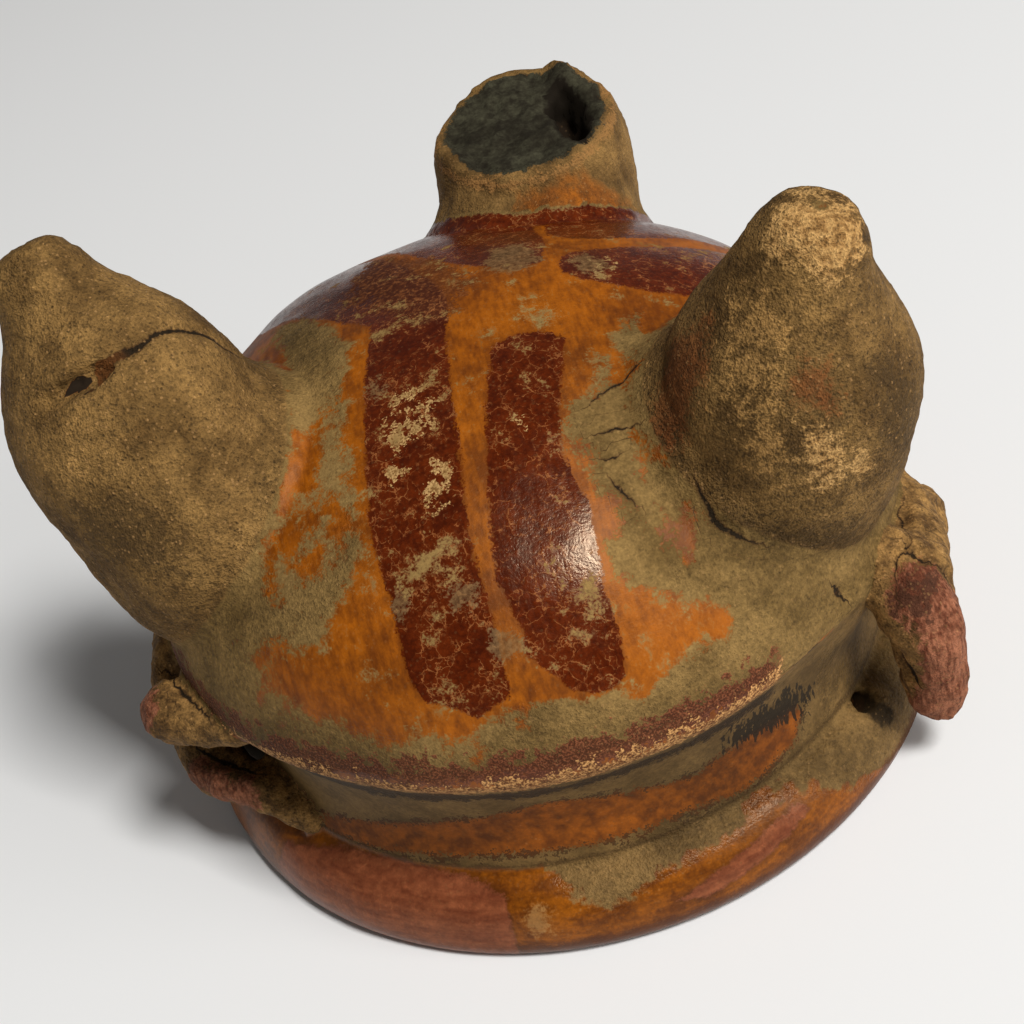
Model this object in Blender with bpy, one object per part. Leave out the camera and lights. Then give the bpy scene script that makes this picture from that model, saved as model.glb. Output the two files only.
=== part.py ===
"""Footed clay bowl, shown upside down on its rim with its three feet in the air.

The bowl is one fired piece: a hollow turned wall with a rolled lip, a concave neck and a sharp ridge,
three hollow breast-shaped feet on the dome, one of them with its tip broken off, and a modelled lug on
each side. Everything is in metres with +Z up, and the rim stands on z = 0.
"""

import math

import bmesh
import bpy
from mathutils import Matrix, Vector

# Outside of the wall, from the rim up
RIM_RADIUS = 0.0750
SEAT_INSET = 0.0023
SEAT_WIDTH = 0.0034
LIP_BULGE_HEIGHT = 0.0030
GROOVE_RADIUS = 0.0667
GROOVE_HEIGHT = 0.0140
NECK_RADIUS = 0.0650
NECK_HEIGHT = 0.0235
RIDGE_RADIUS = 0.0716
RIDGE_HEIGHT = 0.0425
RIDGE_EDGE = 0.0016
DOME_TOP_HEIGHT = 0.0890
DOME_SIDE_FULLNESS = 1.935
DOME_TOP_FULLNESS = 2.02
LIP_FULLNESS = 1.75
WALL = 0.0060

# Feet. Each one stands on a leaning axis, and its levels are lengths along that axis
FOOT_AXIS_RADIUS = 0.0540
FOOT_AXIS_HEIGHT = 0.0581
FOOT_LENGTH = 0.0570
FOOT_BELLY_RADIUS = 0.0212
FOOT_BELLY_LEVEL = 0.0115
CRACKED_AXIS_RADIUS = 0.0550
CRACKED_AXIS_HEIGHT = 0.0615
CRACKED_LENGTH = 0.0640
CRACKED_BELLY_RADIUS = 0.0222
CRACKED_BELLY_LEVEL = 0.0125
FOOT_BOTTOM_DEPTH = 0.0175
TIP_RADIUS = 0.0090
TIP_HEIGHT = 0.0064
FOOT_WALL = 0.0045
FOOT_CAP = 0.0110
FILLET_ABOVE = 0.0120
FILLET_BELOW = 0.0022
FILLET_EDGE_DEPTH = 0.0004
ROOT_DEPTH = 0.0040
BODY_RINGS = 6
HOLLOW_SIDES = 16
FLOOR_LIFT = 1.006

# Broken foot
BREAK_LEVEL_INNER = 0.0220
BREAK_LEVEL_OUTER = 0.0460
BREAK_WAVE = 0.0016
BREAK_POINTS = 20
BREAK_FLOOR_LEVEL = 0.0150

# Openings into the two whole feet. Turn 0 faces away from the bowl's axis
CRACK_LEVEL = 0.0404
CRACK_LENGTH = 0.0190
CRACK_GAP = 0.0034
CRACK_TURN = 70.0
VENT_LEVEL = 0.0220
VENT_LENGTH = 0.0140
VENT_WIDTH = 0.0030
VENT_TURN = 100.0

SLIT_PROUD = 0.0025

# Lugs. Each limb is modelled in steps of one lug thickness, out from the ridge and up from it
LUG_THICKNESS = 0.0064
HOLE_RADIUS = 0.0021
HOLE_AZIMUTH = -42.5
HOLE_WIDENING = 1.3

# Fineness of the faceted solid
WALL_SIDES = 60
FOOT_SIDES = 25
LIMB_SIDES = 10

CLAY_COLOUR = (0.32, 0.16, 0.06, 1.0)
CLAY_ROUGHNESS = 0.55


class Foot:
    """One hollow foot: where its axis stands, how it leans, and its outline along the axis."""

    def __init__(
        self, name, azimuth, lean, twist, shoulder, axis_radius, axis_height, length,
        belly_radius, belly_level,
    ):
        self.name = name
        self.shoulder = shoulder
        self.length = length
        self.belly_radius = belly_radius
        self.belly_level = belly_level
        self.neck_level = length - TIP_HEIGHT
        turned_to = math.radians(azimuth)
        lean = math.radians(lean)
        twist = math.radians(twist)
        self.outward = Vector((math.cos(turned_to), math.sin(turned_to), 0))
        sideways = Vector((-math.sin(turned_to), math.cos(turned_to), 0))
        upright = self.outward * math.sin(lean) + Vector((0, 0, math.cos(lean)))
        self.axis = upright * math.cos(twist) + sideways * math.sin(twist)
        self.side = self.axis.cross(self.outward).normalized()
        self.front = self.side.cross(self.axis)
        self.base = self.outward * axis_radius + Vector((0, 0, axis_height))

    def radius(self, level):
        """Outside radius at a level along the axis: round bottom, belly, shoulder and tip."""
        if level <= self.belly_level:
            drop = (self.belly_level - level) / (self.belly_level + FOOT_BOTTOM_DEPTH)
            return self.belly_radius * math.sqrt(max(1 - drop ** 2, 0))
        if level <= self.neck_level:
            share = (level - self.belly_level) / (self.neck_level - self.belly_level)
            ramp = smooth_share(share ** self.shoulder)
            return self.belly_radius + (TIP_RADIUS - self.belly_radius) * ramp
        share = min((level - self.neck_level) / TIP_HEIGHT, 1)
        return TIP_RADIUS * math.sqrt(1 - share ** 2.4)

    def spoke(self, turn):
        """Unit vector square to the axis; turn 0 points away from the bowl's own axis."""
        return self.front * math.cos(turn) + self.side * math.sin(turn)

    def point(self, level, turn, radius):
        return self.base + self.axis * level + self.spoke(turn) * radius


FEET = {
    "broken": Foot(
        "broken", azimuth=70.2, lean=20.0, twist=0.0, shoulder=2.2,
        axis_radius=FOOT_AXIS_RADIUS, axis_height=FOOT_AXIS_HEIGHT, length=FOOT_LENGTH,
        belly_radius=FOOT_BELLY_RADIUS * 0.965, belly_level=FOOT_BELLY_LEVEL,
    ),
    "cracked": Foot(
        "cracked", azimuth=196.5, lean=9.5, twist=-26.0, shoulder=2.25,
        axis_radius=CRACKED_AXIS_RADIUS, axis_height=CRACKED_AXIS_HEIGHT, length=CRACKED_LENGTH,
        belly_radius=CRACKED_BELLY_RADIUS, belly_level=CRACKED_BELLY_LEVEL,
    ),
    "whole": Foot(
        "whole", azimuth=-36.3, lean=15.0, twist=0.0, shoulder=1.9,
        axis_radius=FOOT_AXIS_RADIUS, axis_height=FOOT_AXIS_HEIGHT, length=FOOT_LENGTH,
        belly_radius=FOOT_BELLY_RADIUS, belly_level=FOOT_BELLY_LEVEL,
    ),
}


def smooth_share(t):
    """Cosine ramp from 0 to 1."""
    return 0.5 - 0.5 * math.cos(math.pi * t)


def dome_point(angle):
    """Radius and height on the dome, from the ridge at angle 0 to the top at 90 degrees."""
    radius = RIDGE_RADIUS * max(math.cos(angle), 0) ** (2 / DOME_SIDE_FULLNESS)
    rise = (DOME_TOP_HEIGHT - RIDGE_HEIGHT) * math.sin(angle) ** (2 / DOME_TOP_FULLNESS)
    return radius, RIDGE_HEIGHT + rise


def dome_level(point):
    """Below 1 inside the dome, 1 on its surface and above 1 outside it."""
    radius = math.hypot(point.x, point.y) / RIDGE_RADIUS
    rise = max(point.z - RIDGE_HEIGHT, 0) / (DOME_TOP_HEIGHT - RIDGE_HEIGHT)
    return radius ** DOME_SIDE_FULLNESS + rise ** DOME_TOP_FULLNESS


def onto_dome(point, depth=0.0):
    """Moves a point straight towards the ridge's centre, onto the dome or depth below it."""
    centre = Vector((0, 0, RIDGE_HEIGHT))
    arm = point - centre
    arm.z = max(arm.z, RIDGE_EDGE)
    for _ in range(4):
        arm = arm / math.sqrt(dome_level(centre + arm))
    return centre + arm * (1 - depth / arm.length)


def outer_profile():
    """The wall's outside as radius and height, from the seat up to the top of the dome."""
    points = []
    for i in range(3):
        a = math.radians(45 * i)
        inset = SEAT_INSET * (1 - math.sin(a))
        points.append((RIM_RADIUS - inset, LIP_BULGE_HEIGHT * (1 - math.cos(a))))
    for i in range(1, 6):
        a = math.radians(90 * i / 6)
        out = (RIM_RADIUS - GROOVE_RADIUS) * math.cos(a) ** (2 / LIP_FULLNESS)
        up = (GROOVE_HEIGHT - LIP_BULGE_HEIGHT) * math.sin(a) ** (2 / LIP_FULLNESS)
        points.append((GROOVE_RADIUS + out, LIP_BULGE_HEIGHT + up))
    points.append((GROOVE_RADIUS, GROOVE_HEIGHT))
    for share in (0.5, 1.0):
        waist = GROOVE_RADIUS + (NECK_RADIUS - GROOVE_RADIUS) * smooth_share(share)
        points.append((waist, GROOVE_HEIGHT + (NECK_HEIGHT - GROOVE_HEIGHT) * share))
    for share in (0.35, 0.6, 0.8):
        flare = NECK_RADIUS + (RIDGE_RADIUS - NECK_RADIUS) * share ** 2
        points.append((flare, NECK_HEIGHT + (RIDGE_HEIGHT - NECK_HEIGHT) * share))
    points.append((RIDGE_RADIUS - RIDGE_EDGE * 0.4, RIDGE_HEIGHT - RIDGE_EDGE))
    for i in range(12):
        points.append(dome_point(math.radians(90 * i / 12)))
    points.append((0.0, DOME_TOP_HEIGHT))
    return points


def inner_profile():
    """The hollow inside as radius and height, from below the rim up to the dome."""
    mouth = RIM_RADIUS - SEAT_INSET - SEAT_WIDTH
    points = [(mouth, -WALL), (mouth, 0.0)]
    throat = NECK_RADIUS - WALL
    for share in (0.35, 0.7, 1.0):
        flare = mouth + (throat - mouth) * math.sin(math.radians(90 * share))
        points.append((flare, NECK_HEIGHT * share))
    for share in (0.4, 0.7):
        swell = throat + (RIDGE_RADIUS - NECK_RADIUS) * smooth_share(share)
        points.append((swell, NECK_HEIGHT + (RIDGE_HEIGHT - NECK_HEIGHT) * share))
    for i in range(9):
        radius, height = dome_point(math.radians(90 * i / 9))
        lower = (height - RIDGE_HEIGHT) / (DOME_TOP_HEIGHT - RIDGE_HEIGHT) * WALL
        points.append((radius - WALL * radius / RIDGE_RADIUS, height - lower))
    points.append((0.0, DOME_TOP_HEIGHT - WALL))
    return points


def add_object(name, mesh_data):
    mesh = bpy.data.meshes.new(name)
    bmesh.ops.recalc_face_normals(mesh_data, faces=mesh_data.faces)
    mesh_data.to_mesh(mesh)
    mesh_data.free()
    mesh.shade_smooth()
    thing = bpy.data.objects.new(name, mesh)
    bpy.context.scene.collection.objects.link(thing)
    return thing


def turned(name, profile, sides):
    """Spins a profile of radius and height round Z; an end off the axis is closed flat."""
    mesh_data = bmesh.new()
    if profile[0][0] > 0:
        profile = [(0.0, profile[0][1])] + profile
    vertices = [mesh_data.verts.new((radius, 0, height)) for radius, height in profile]
    edges = [mesh_data.edges.new(pair) for pair in zip(vertices, vertices[1:])]
    bmesh.ops.spin(
        mesh_data, geom=vertices + edges, cent=(0, 0, 0), axis=(0, 0, 1),
        angle=2 * math.pi, steps=sides, use_merge=True,
    )
    bmesh.ops.remove_doubles(mesh_data, verts=mesh_data.verts, dist=0.00001)
    return add_object(name, mesh_data)


def lofted(name, rings, first, last):
    """Skins closed rings of equal count and closes both ends on a point."""
    mesh_data = bmesh.new()
    rows = [[mesh_data.verts.new(point) for point in ring] for ring in rings]
    count = len(rows[0])
    start = mesh_data.verts.new(first)
    end = mesh_data.verts.new(last)
    for i in range(count):
        j = (i + 1) % count
        mesh_data.faces.new((start, rows[0][j], rows[0][i]))
        mesh_data.faces.new((end, rows[-1][i], rows[-1][j]))
        for low, high in zip(rows, rows[1:]):
            mesh_data.faces.new((low[i], low[j], high[j], high[i]))
    bmesh.ops.triangulate(mesh_data, faces=mesh_data.faces, quad_method="SHORT_EDGE")
    return add_object(name, mesh_data)


def root_level(foot, turn):
    """Level where the foot's outside comes out of the dome on this side."""
    low = -FOOT_BOTTOM_DEPTH
    high = foot.neck_level
    for _ in range(30):
        middle = (low + high) / 2
        if dome_level(foot.point(middle, turn, foot.radius(middle))) > 1:
            high = middle
        else:
            low = middle
    return high


def bezier(a, b, c, t):
    return a * (1 - t) ** 2 + b * 2 * t * (1 - t) + c * t ** 2


def foot_column(foot, turn):
    """Points up one side of a foot: out of the dome, round the fillet, over the belly to the tip."""
    root = root_level(foot, turn)
    corner = foot.point(root, turn, foot.radius(root))
    inner_side = (1 - math.cos(turn)) / 2
    fillet = FILLET_BELOW + (FILLET_ABOVE - FILLET_BELOW) * inner_side ** 0.7
    fillet = min(fillet, (foot.neck_level - root) * 0.5)
    start = onto_dome(corner + foot.spoke(turn) * fillet, FILLET_EDGE_DEPTH)
    first = root + fillet
    top = foot.point(first, turn, foot.radius(first))
    column = [onto_dome(corner, ROOT_DEPTH)]
    column += [bezier(start, corner, top, t) for t in (0, 0.3, 0.6)]
    for i in range(BODY_RINGS + 1):
        level = first + (foot.neck_level - first) * i / BODY_RINGS
        column.append(foot.point(level, turn, foot.radius(level)))
    for share in (0.55, 0.85):
        level = foot.neck_level + TIP_HEIGHT * share
        column.append(foot.point(level, turn, foot.radius(level)))
    return column


def foot_outside(foot):
    turns = [2 * math.pi * i / FOOT_SIDES for i in range(FOOT_SIDES)]
    columns = [foot_column(foot, turn) for turn in turns]
    rings = list(zip(*columns))
    inside = onto_dome(foot.base, 2 * WALL)
    return lofted(foot.name + "_foot", rings, inside, foot.base + foot.axis * foot.length)


def foot_hollow(foot, floor, top):
    """The hollow inside a foot, one foot wall in from its outside, down to the dome."""
    rings = []
    for i in range(BODY_RINGS + 1):
        level = floor + (top - floor) * i / BODY_RINGS
        radius = max(foot.radius(level) - FOOT_WALL, FOOT_WALL / 2)
        if i == BODY_RINGS:
            radius *= 0.6
        turns = [2 * math.pi * k / HOLLOW_SIDES for k in range(HOLLOW_SIDES)]
        rings.append([foot.point(level, turn, radius) for turn in turns])
    bottom = foot.point(floor, 0, 0)
    return lofted(foot.name + "_hollow", rings, bottom, foot.point(top + FOOT_WALL / 2, 0, 0))


def limb(name, stations):
    """A round lump drawn along stations of azimuth, steps out, steps up and fullness."""
    points = []
    for azimuth, out, up, fullness in stations:
        a = math.radians(azimuth)
        distance = RIDGE_RADIUS + out * LUG_THICKNESS
        height = RIDGE_HEIGHT + up * LUG_THICKNESS
        spot = Vector((distance * math.cos(a), distance * math.sin(a), height))
        points.append((spot, fullness * LUG_THICKNESS))
    path = []
    for i in range(len(points) - 1):
        before = points[max(i - 1, 0)]
        here = points[i]
        there = points[i + 1]
        after = points[min(i + 2, len(points) - 1)]
        for t in (0.0, 0.5):
            spot = curve(before[0], here[0], there[0], after[0], t)
            path.append((spot, curve(before[1], here[1], there[1], after[1], t)))
    path.append(points[-1])
    rings = []
    for i, (spot, radius) in enumerate(path):
        ahead = path[min(i + 1, len(path) - 1)][0] - path[max(i - 1, 0)][0]
        ahead.normalize()
        if i == 0:
            across = ahead.orthogonal()
        across = (across - ahead * across.dot(ahead)).normalized()
        square = ahead.cross(across)
        ring = []
        for k in range(LIMB_SIDES):
            a = 2 * math.pi * k / LIMB_SIDES
            ring.append((across * math.cos(a) + square * math.sin(a), ahead, spot, radius))
        rings.append(ring)
    skin = []
    skin.append([s - d * r * 0.7 + n * r * 0.7 for n, d, s, r in rings[0]])
    skin += [[s + n * r for n, d, s, r in ring] for ring in rings]
    skin.append([s + d * r * 0.7 + n * r * 0.7 for n, d, s, r in rings[-1]])
    head = rings[0][0]
    tail = rings[-1][0]
    return lofted(name, skin, head[2] - head[1] * head[3], tail[2] + tail[1] * tail[3])


def curve(a, b, c, d, t):
    """Catmull-Rom point between b and c, for vectors and numbers alike."""
    first = (c - a) * (0.5 * t)
    second = (a * 2 - b * 5 + c * 4 - d) * (0.5 * t ** 2)
    third = (b * 3 - a - c * 3 + d) * (0.5 * t ** 3)
    return b + first + second + third


def combine(target, tool, operation):
    """Adds a Boolean to the target and makes its tool a hidden guide."""
    step = target.modifiers.new(operation.title() + " " + tool.name, "BOOLEAN")
    step.operation = operation
    step.object = tool
    step.solver = "EXACT"
    tool.hide_render = True
    tool.display_type = "WIRE"


def right_lug():
    """A clinging figure's body behind, and its broad forelimb hanging from the ridge to the lip."""
    body = [
        (-13, -0.35, -0.95, 0.65),
        (-20, 0.05, -1.00, 0.85),
        (-28, 0.35, -0.95, 1.05),
        (-35, 0.80, -0.65, 0.98),
    ]
    forelimb = [
        (-35.5, 0.30, -0.20, 1.00),
        (-38, 1.15, -1.15, 1.02),
        (-38.5, 1.41, -2.23, 1.00),
        (-38.5, 1.40, -4.30, 0.95),
    ]
    belly = [
        (-18, 0.30, -1.55, 1.00),
        (-24, 0.30, -2.05, 0.90),
        (-24, -0.55, -3.30, 0.70),
    ]
    return [limb("right_body", body), limb("right_forelimb", forelimb), limb("right_belly", belly)]


def left_lug():
    """The same figure on the left: a round head at the ridge and a forelimb laid along the neck."""
    head = [
        (215, -0.47, -0.15, 0.50),
        (208, 0.00, -0.47, 0.70),
        (200.5, 0.78, -0.55, 1.00),
    ]
    back = [
        (184, -0.23, -0.47, 0.75),
        (190, 0.00, -0.62, 0.88),
        (192, 0.19, -1.48, 0.97),
    ]
    forelimb = [
        (190, 0.16, -1.95, 0.86),
        (194.5, 0.31, -2.97, 0.95),
        (201, 0.39, -3.28, 0.90),
        (209, -0.16, -3.28, 0.65),
        (218, -0.64, -3.91, 0.40),
    ]
    return [limb("left_head", head), limb("left_back", back), limb("left_forelimb", forelimb)]


def break_cutter(foot):
    """Everything above the uneven break: a ragged sheet across the foot, extruded up past its tip."""
    shares = (0.35, 0.7, 1.0, 1.5)
    reach = foot.belly_radius
    turns = [2 * math.pi * (i + 0.3) / BREAK_POINTS for i in range(BREAK_POINTS)]
    mean = (BREAK_LEVEL_INNER + BREAK_LEVEL_OUTER) / 2
    tilt = (BREAK_LEVEL_OUTER - BREAK_LEVEL_INNER) / 2

    def level(turn, share):
        wave = math.sin(3 * turn + 0.6) + 0.7 * math.sin(5 * turn + 2.1) + math.sin(turn)
        return mean + tilt * math.cos(turn) * share + BREAK_WAVE * wave * min(share, 1)

    rings = []
    for share in shares:
        rings.append([foot.point(level(turn, share), turn, reach * share) for turn in turns])
    top = 2 * foot.length
    rings.append([foot.point(top, turn, reach * shares[-1]) for turn in turns])
    return lofted("break", rings, foot.point(mean, 0, 0), foot.point(top, 0, 0))


def slit_cutter(name, foot, level, length, gap, turn):
    """A thin tapered wedge that opens the foot's wall into its hollow."""
    rings = []
    outside = foot.radius(level) + SLIT_PROUD
    inside = foot.radius(level) - 2 * FOOT_WALL
    span = length / foot.radius(level)
    for share in (-0.5, -0.2, 0.2, 0.5):
        half = gap / 2 * math.sqrt(1 - (1.7 * share) ** 2)
        here = math.radians(turn) + span * share
        rings.append([
            foot.point(level - half, here, outside),
            foot.point(level + half, here, outside),
            foot.point(level + half * 0.6, here, inside),
            foot.point(level - half * 0.6, here, inside),
        ])
    first = sum(rings[0], Vector()) / 4
    last = sum(rings[-1], Vector()) / 4
    return lofted(name, rings, first, last)


def pierced_hole():
    """A round hole through the lip, under the right lug."""
    a = math.radians(HOLE_AZIMUTH)
    across = Vector((math.cos(a), math.sin(a), 0))
    middle = across * (GROOVE_RADIUS - WALL * 0.2) + Vector((0, 0, GROOVE_HEIGHT - 0.003))
    along = (across + Vector((0, 0, 0.55))).normalized()
    side = Vector((-math.sin(a), math.cos(a), 0))
    square = along.cross(side)
    reach = along * (2.2 * WALL)
    rings = []
    for end in (middle - reach, middle + reach):
        ring = []
        for k in range(LIMB_SIDES):
            turn = 2 * math.pi * k / LIMB_SIDES
            arm = side * (HOLE_WIDENING * math.cos(turn)) + square * math.sin(turn)
            ring.append(end + arm * HOLE_RADIUS)
        rings.append(ring)
    return lofted("hole", rings, middle - reach, middle + reach)


def clay_material():
    clay = bpy.data.materials.new("fired_clay")
    clay.use_nodes = True
    shader = clay.node_tree.nodes["Principled BSDF"]
    shader.inputs["Base Color"].default_value = CLAY_COLOUR
    shader.inputs["Roughness"].default_value = CLAY_ROUGHNESS
    shader.inputs["Metallic"].default_value = 0.0
    return clay


for old in list(bpy.data.objects):
    bpy.data.objects.remove(old, do_unlink=True)

bowl = turned("tripod_bowl", outer_profile(), WALL_SIDES)
bowl.data.materials.append(clay_material())
for foot in FEET.values():
    combine(bowl, foot_outside(foot), "UNION")
combine(bowl, turned("bowl_hollow", inner_profile(), WALL_SIDES), "DIFFERENCE")

dome = turned("dome_guide", [(r * FLOOR_LIFT, z * FLOOR_LIFT) for r, z in outer_profile()], WALL_SIDES)
dome.hide_render = True
dome.display_type = "WIRE"
for foot in FEET.values():
    broken = foot is FEET["broken"]
    floor = BREAK_FLOOR_LEVEL if broken else 0.0
    top = foot.neck_level if broken else foot.length - FOOT_CAP
    hollow = foot_hollow(foot, floor, top)
    combine(hollow, dome, "DIFFERENCE")
    combine(bowl, hollow, "DIFFERENCE")
combine(bowl, break_cutter(FEET["broken"]), "DIFFERENCE")
crack = slit_cutter("crack", FEET["cracked"], CRACK_LEVEL, CRACK_LENGTH, CRACK_GAP, CRACK_TURN)
vent = slit_cutter("vent", FEET["whole"], VENT_LEVEL, VENT_LENGTH, VENT_WIDTH, VENT_TURN)
combine(bowl, crack, "DIFFERENCE")
combine(bowl, vent, "DIFFERENCE")
for lump in right_lug() + left_lug():
    combine(bowl, lump, "UNION")
combine(bowl, pierced_hole(), "DIFFERENCE")

# The lugs and the leaning feet reach out unevenly, so everything moves to the outline's own middle
depsgraph = bpy.context.evaluated_depsgraph_get()
corners = [Vector(corner) for corner in bowl.evaluated_get(depsgraph).bound_box]
low = Vector(min(corner[i] for corner in corners) for i in range(3))
high = Vector(max(corner[i] for corner in corners) for i in range(3))
middle = (low + high) / 2
shift = Matrix.Translation((-middle.x, -middle.y, -low.z))
for thing in bpy.data.objects:
    thing.data.transform(shift)
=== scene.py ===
# %% [markdown]
# # A painted bowl on three hollow feet, resting upside down on its rim
# The solids come from the imported model. This lesson gives them their handmade surface: a skin of
# real clay with its waves, cracks and crust, and the layers of orange and red slip under old soil.
# The first cell loads the imported model. The finished bowl must fill the same space.

# %% Load the imported bowl
import math
import bpy
import numpy as np
from mathutils import Matrix, Vector


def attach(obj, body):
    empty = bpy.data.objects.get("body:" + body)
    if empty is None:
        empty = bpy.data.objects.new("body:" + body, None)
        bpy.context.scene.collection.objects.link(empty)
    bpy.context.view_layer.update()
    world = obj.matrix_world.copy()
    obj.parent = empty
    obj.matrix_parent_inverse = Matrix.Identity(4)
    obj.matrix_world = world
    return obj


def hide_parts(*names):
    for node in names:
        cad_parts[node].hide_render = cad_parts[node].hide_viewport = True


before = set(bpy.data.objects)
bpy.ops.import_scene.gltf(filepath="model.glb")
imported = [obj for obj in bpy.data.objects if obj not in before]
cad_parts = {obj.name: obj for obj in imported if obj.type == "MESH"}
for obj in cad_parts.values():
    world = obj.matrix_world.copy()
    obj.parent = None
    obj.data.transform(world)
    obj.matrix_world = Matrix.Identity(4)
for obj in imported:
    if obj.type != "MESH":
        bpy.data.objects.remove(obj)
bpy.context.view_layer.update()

MM = 0.001

solid_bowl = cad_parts["tripod_bowl"]

# %% [markdown]
# ## Where the bowl's own axis stands
# A potter turns the bowl about one upright axis, and nearly every shape and painted band is
# described from it. The lowest points of the solid are the flat seat of the rim, which is a true
# circle, so the middle of that circle is the axis.


# %% Find the axis
def mesh_points(piece):
    """Every vertex of a piece as rows of x, y, z in metres."""
    flat = np.empty(3 * len(piece.data.vertices))
    piece.data.vertices.foreach_get("co", flat)
    return flat.reshape(-1, 3)


SEAT_REACH = 0.00001
solid_points = mesh_points(solid_bowl)
seat = solid_points[solid_points[:, 2] < solid_points[:, 2].min() + SEAT_REACH]
bowl_axis = np.append((seat[:, :2].min(0) + seat[:, :2].max(0)) / 2, 0.0)
print("axis at, mm:", np.round(bowl_axis / MM, 2))

# %% [markdown]
# ## The camera
# The viewing angle was fitted to the outline of the bowl, its ridge and its rim. The camera looks
# down steeply from close in front, and it is rolled a little, as a hand-held one is.

# %% Camera
CAMERA_PLACE = Vector((0.008505, -0.254747, 0.242774))
CAMERA_LOOK = Vector((-0.016584, 0.769453, -0.638488)).normalized()
CAMERA_ROLL = -0.288
CAMERA_LENS = 58.57
CAMERA_SHIFT = (-0.01974, 0.02586)
CAMERA_NEAR = 0.01

level_right = CAMERA_LOOK.cross(Vector((0, 0, 1))).normalized()
level_up = level_right.cross(CAMERA_LOOK)
camera_right = level_right * math.cos(CAMERA_ROLL) + level_up * math.sin(CAMERA_ROLL)
camera_up = level_up * math.cos(CAMERA_ROLL) - level_right * math.sin(CAMERA_ROLL)
turned = Matrix((camera_right, camera_up, -CAMERA_LOOK)).transposed().to_4x4()

bpy.ops.object.select_all(action="DESELECT")
bpy.ops.object.camera_add()
camera = bpy.context.active_object
camera.name = "camera"
camera.matrix_world = Matrix.Translation(CAMERA_PLACE) @ turned
camera.data.lens = CAMERA_LENS
camera.data.shift_x, camera.data.shift_y = CAMERA_SHIFT
camera.data.clip_start = CAMERA_NEAR
bpy.context.scene.camera = camera

# %% [markdown]
# ## Floor and light
# The bowl rests on a pale table under soft light. The broad lamp hangs nearly overhead, a little to
# the right: that is where the gloss on the burnished red and the shade beside the feet put it.
# Bright surroundings lift the shadows.

# %% Floor, lamps and surroundings
FLOOR_SIZE, FLOOR_ROUGHNESS = 6.0, 0.9
FLOOR_COLOUR = (0.86, 0.855, 0.84, 1)
# Each lamp has its direction from the bowl, its distance and width in metres and its power in watts.
LAMPS = {"lamp_overhead": ((0.35, -0.39, 0.87), 2.2, 0.55, 43.0),
         "lamp_right": ((0.85, -0.45, 0.40), 2.0, 0.9, 12.0)}
LAMP_TARGET = Vector((0, 0, 0.05))
ROOM_COLOUR, ROOM_STRENGTH = (1, 1, 1, 1), 0.12

bpy.ops.mesh.primitive_plane_add(size=FLOOR_SIZE)
floor = bpy.context.active_object
floor.name = "table_top"
floor_paint = bpy.data.materials.new("pale_table")
floor_paint.use_nodes = True
floor_shader = floor_paint.node_tree.nodes["Principled BSDF"]
floor_shader.inputs["Base Color"].default_value = FLOOR_COLOUR
floor_shader.inputs["Roughness"].default_value = FLOOR_ROUGHNESS
floor.data.materials.append(floor_paint)

for lamp_name, (direction, distance, width, power) in LAMPS.items():
    bpy.ops.object.light_add(type="AREA")
    lamp = bpy.context.active_object
    lamp.name = lamp_name
    lamp.location = LAMP_TARGET + Vector(direction).normalized() * distance
    lamp.rotation_euler = (LAMP_TARGET - lamp.location).to_track_quat("-Z", "Y").to_euler()
    lamp.data.size = width
    lamp.data.energy = power

surroundings = bpy.data.worlds.new("bright_room")
bpy.context.scene.world = surroundings
surroundings.use_nodes = True
room = surroundings.node_tree.nodes["Background"]
room.inputs["Color"].default_value = ROOM_COLOUR
room.inputs["Strength"].default_value = ROOM_STRENGTH
bpy.context.scene.view_settings.view_transform = "Standard"

# %% [markdown]
# ## The shape in numbers
# The wall is one outline turned about the axis, and each foot is one outline turned about its own
# leaning axis. These are the same values that the solids were made from. They are needed twice:
# to make the skin truly round, and to say where on the bowl a point lies when it is painted.

# %% The wall's outline
RIM_RADIUS, SEAT_INSET, SEAT_WIDTH = 75.0, 2.3, 3.4
LIP_BULGE_HEIGHT, LIP_FULLNESS = 3.0, 1.75
GROOVE_RADIUS, GROOVE_HEIGHT = 66.7, 14.0
NECK_RADIUS, NECK_HEIGHT = 65.0, 23.5
RIDGE_RADIUS, RIDGE_HEIGHT = 71.6, 42.5
DOME_TOP_HEIGHT, DOME_SIDE_FULLNESS, DOME_TOP_FULLNESS = 89.0, 1.935, 2.02
OUTLINE_STEPS = 160


def eased(share):
    """Rises from 0 to 1 with level ends."""
    return 0.5 - 0.5 * np.cos(np.pi * np.clip(share, 0, 1))


def curved_corner(start, end, fullness, steps=OUTLINE_STEPS, end_fullness=None):
    """A quarter of a rounded corner that leaves start upright and reaches end level."""
    angle = np.linspace(0, math.pi / 2, steps)
    across = np.cos(angle).clip(0, 1) ** (2 / fullness)
    up = np.sin(angle) ** (2 / (end_fullness or fullness))
    return np.stack([end[0] + (start[0] - end[0]) * across, start[1] + (end[1] - start[1]) * up], 1)


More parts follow.
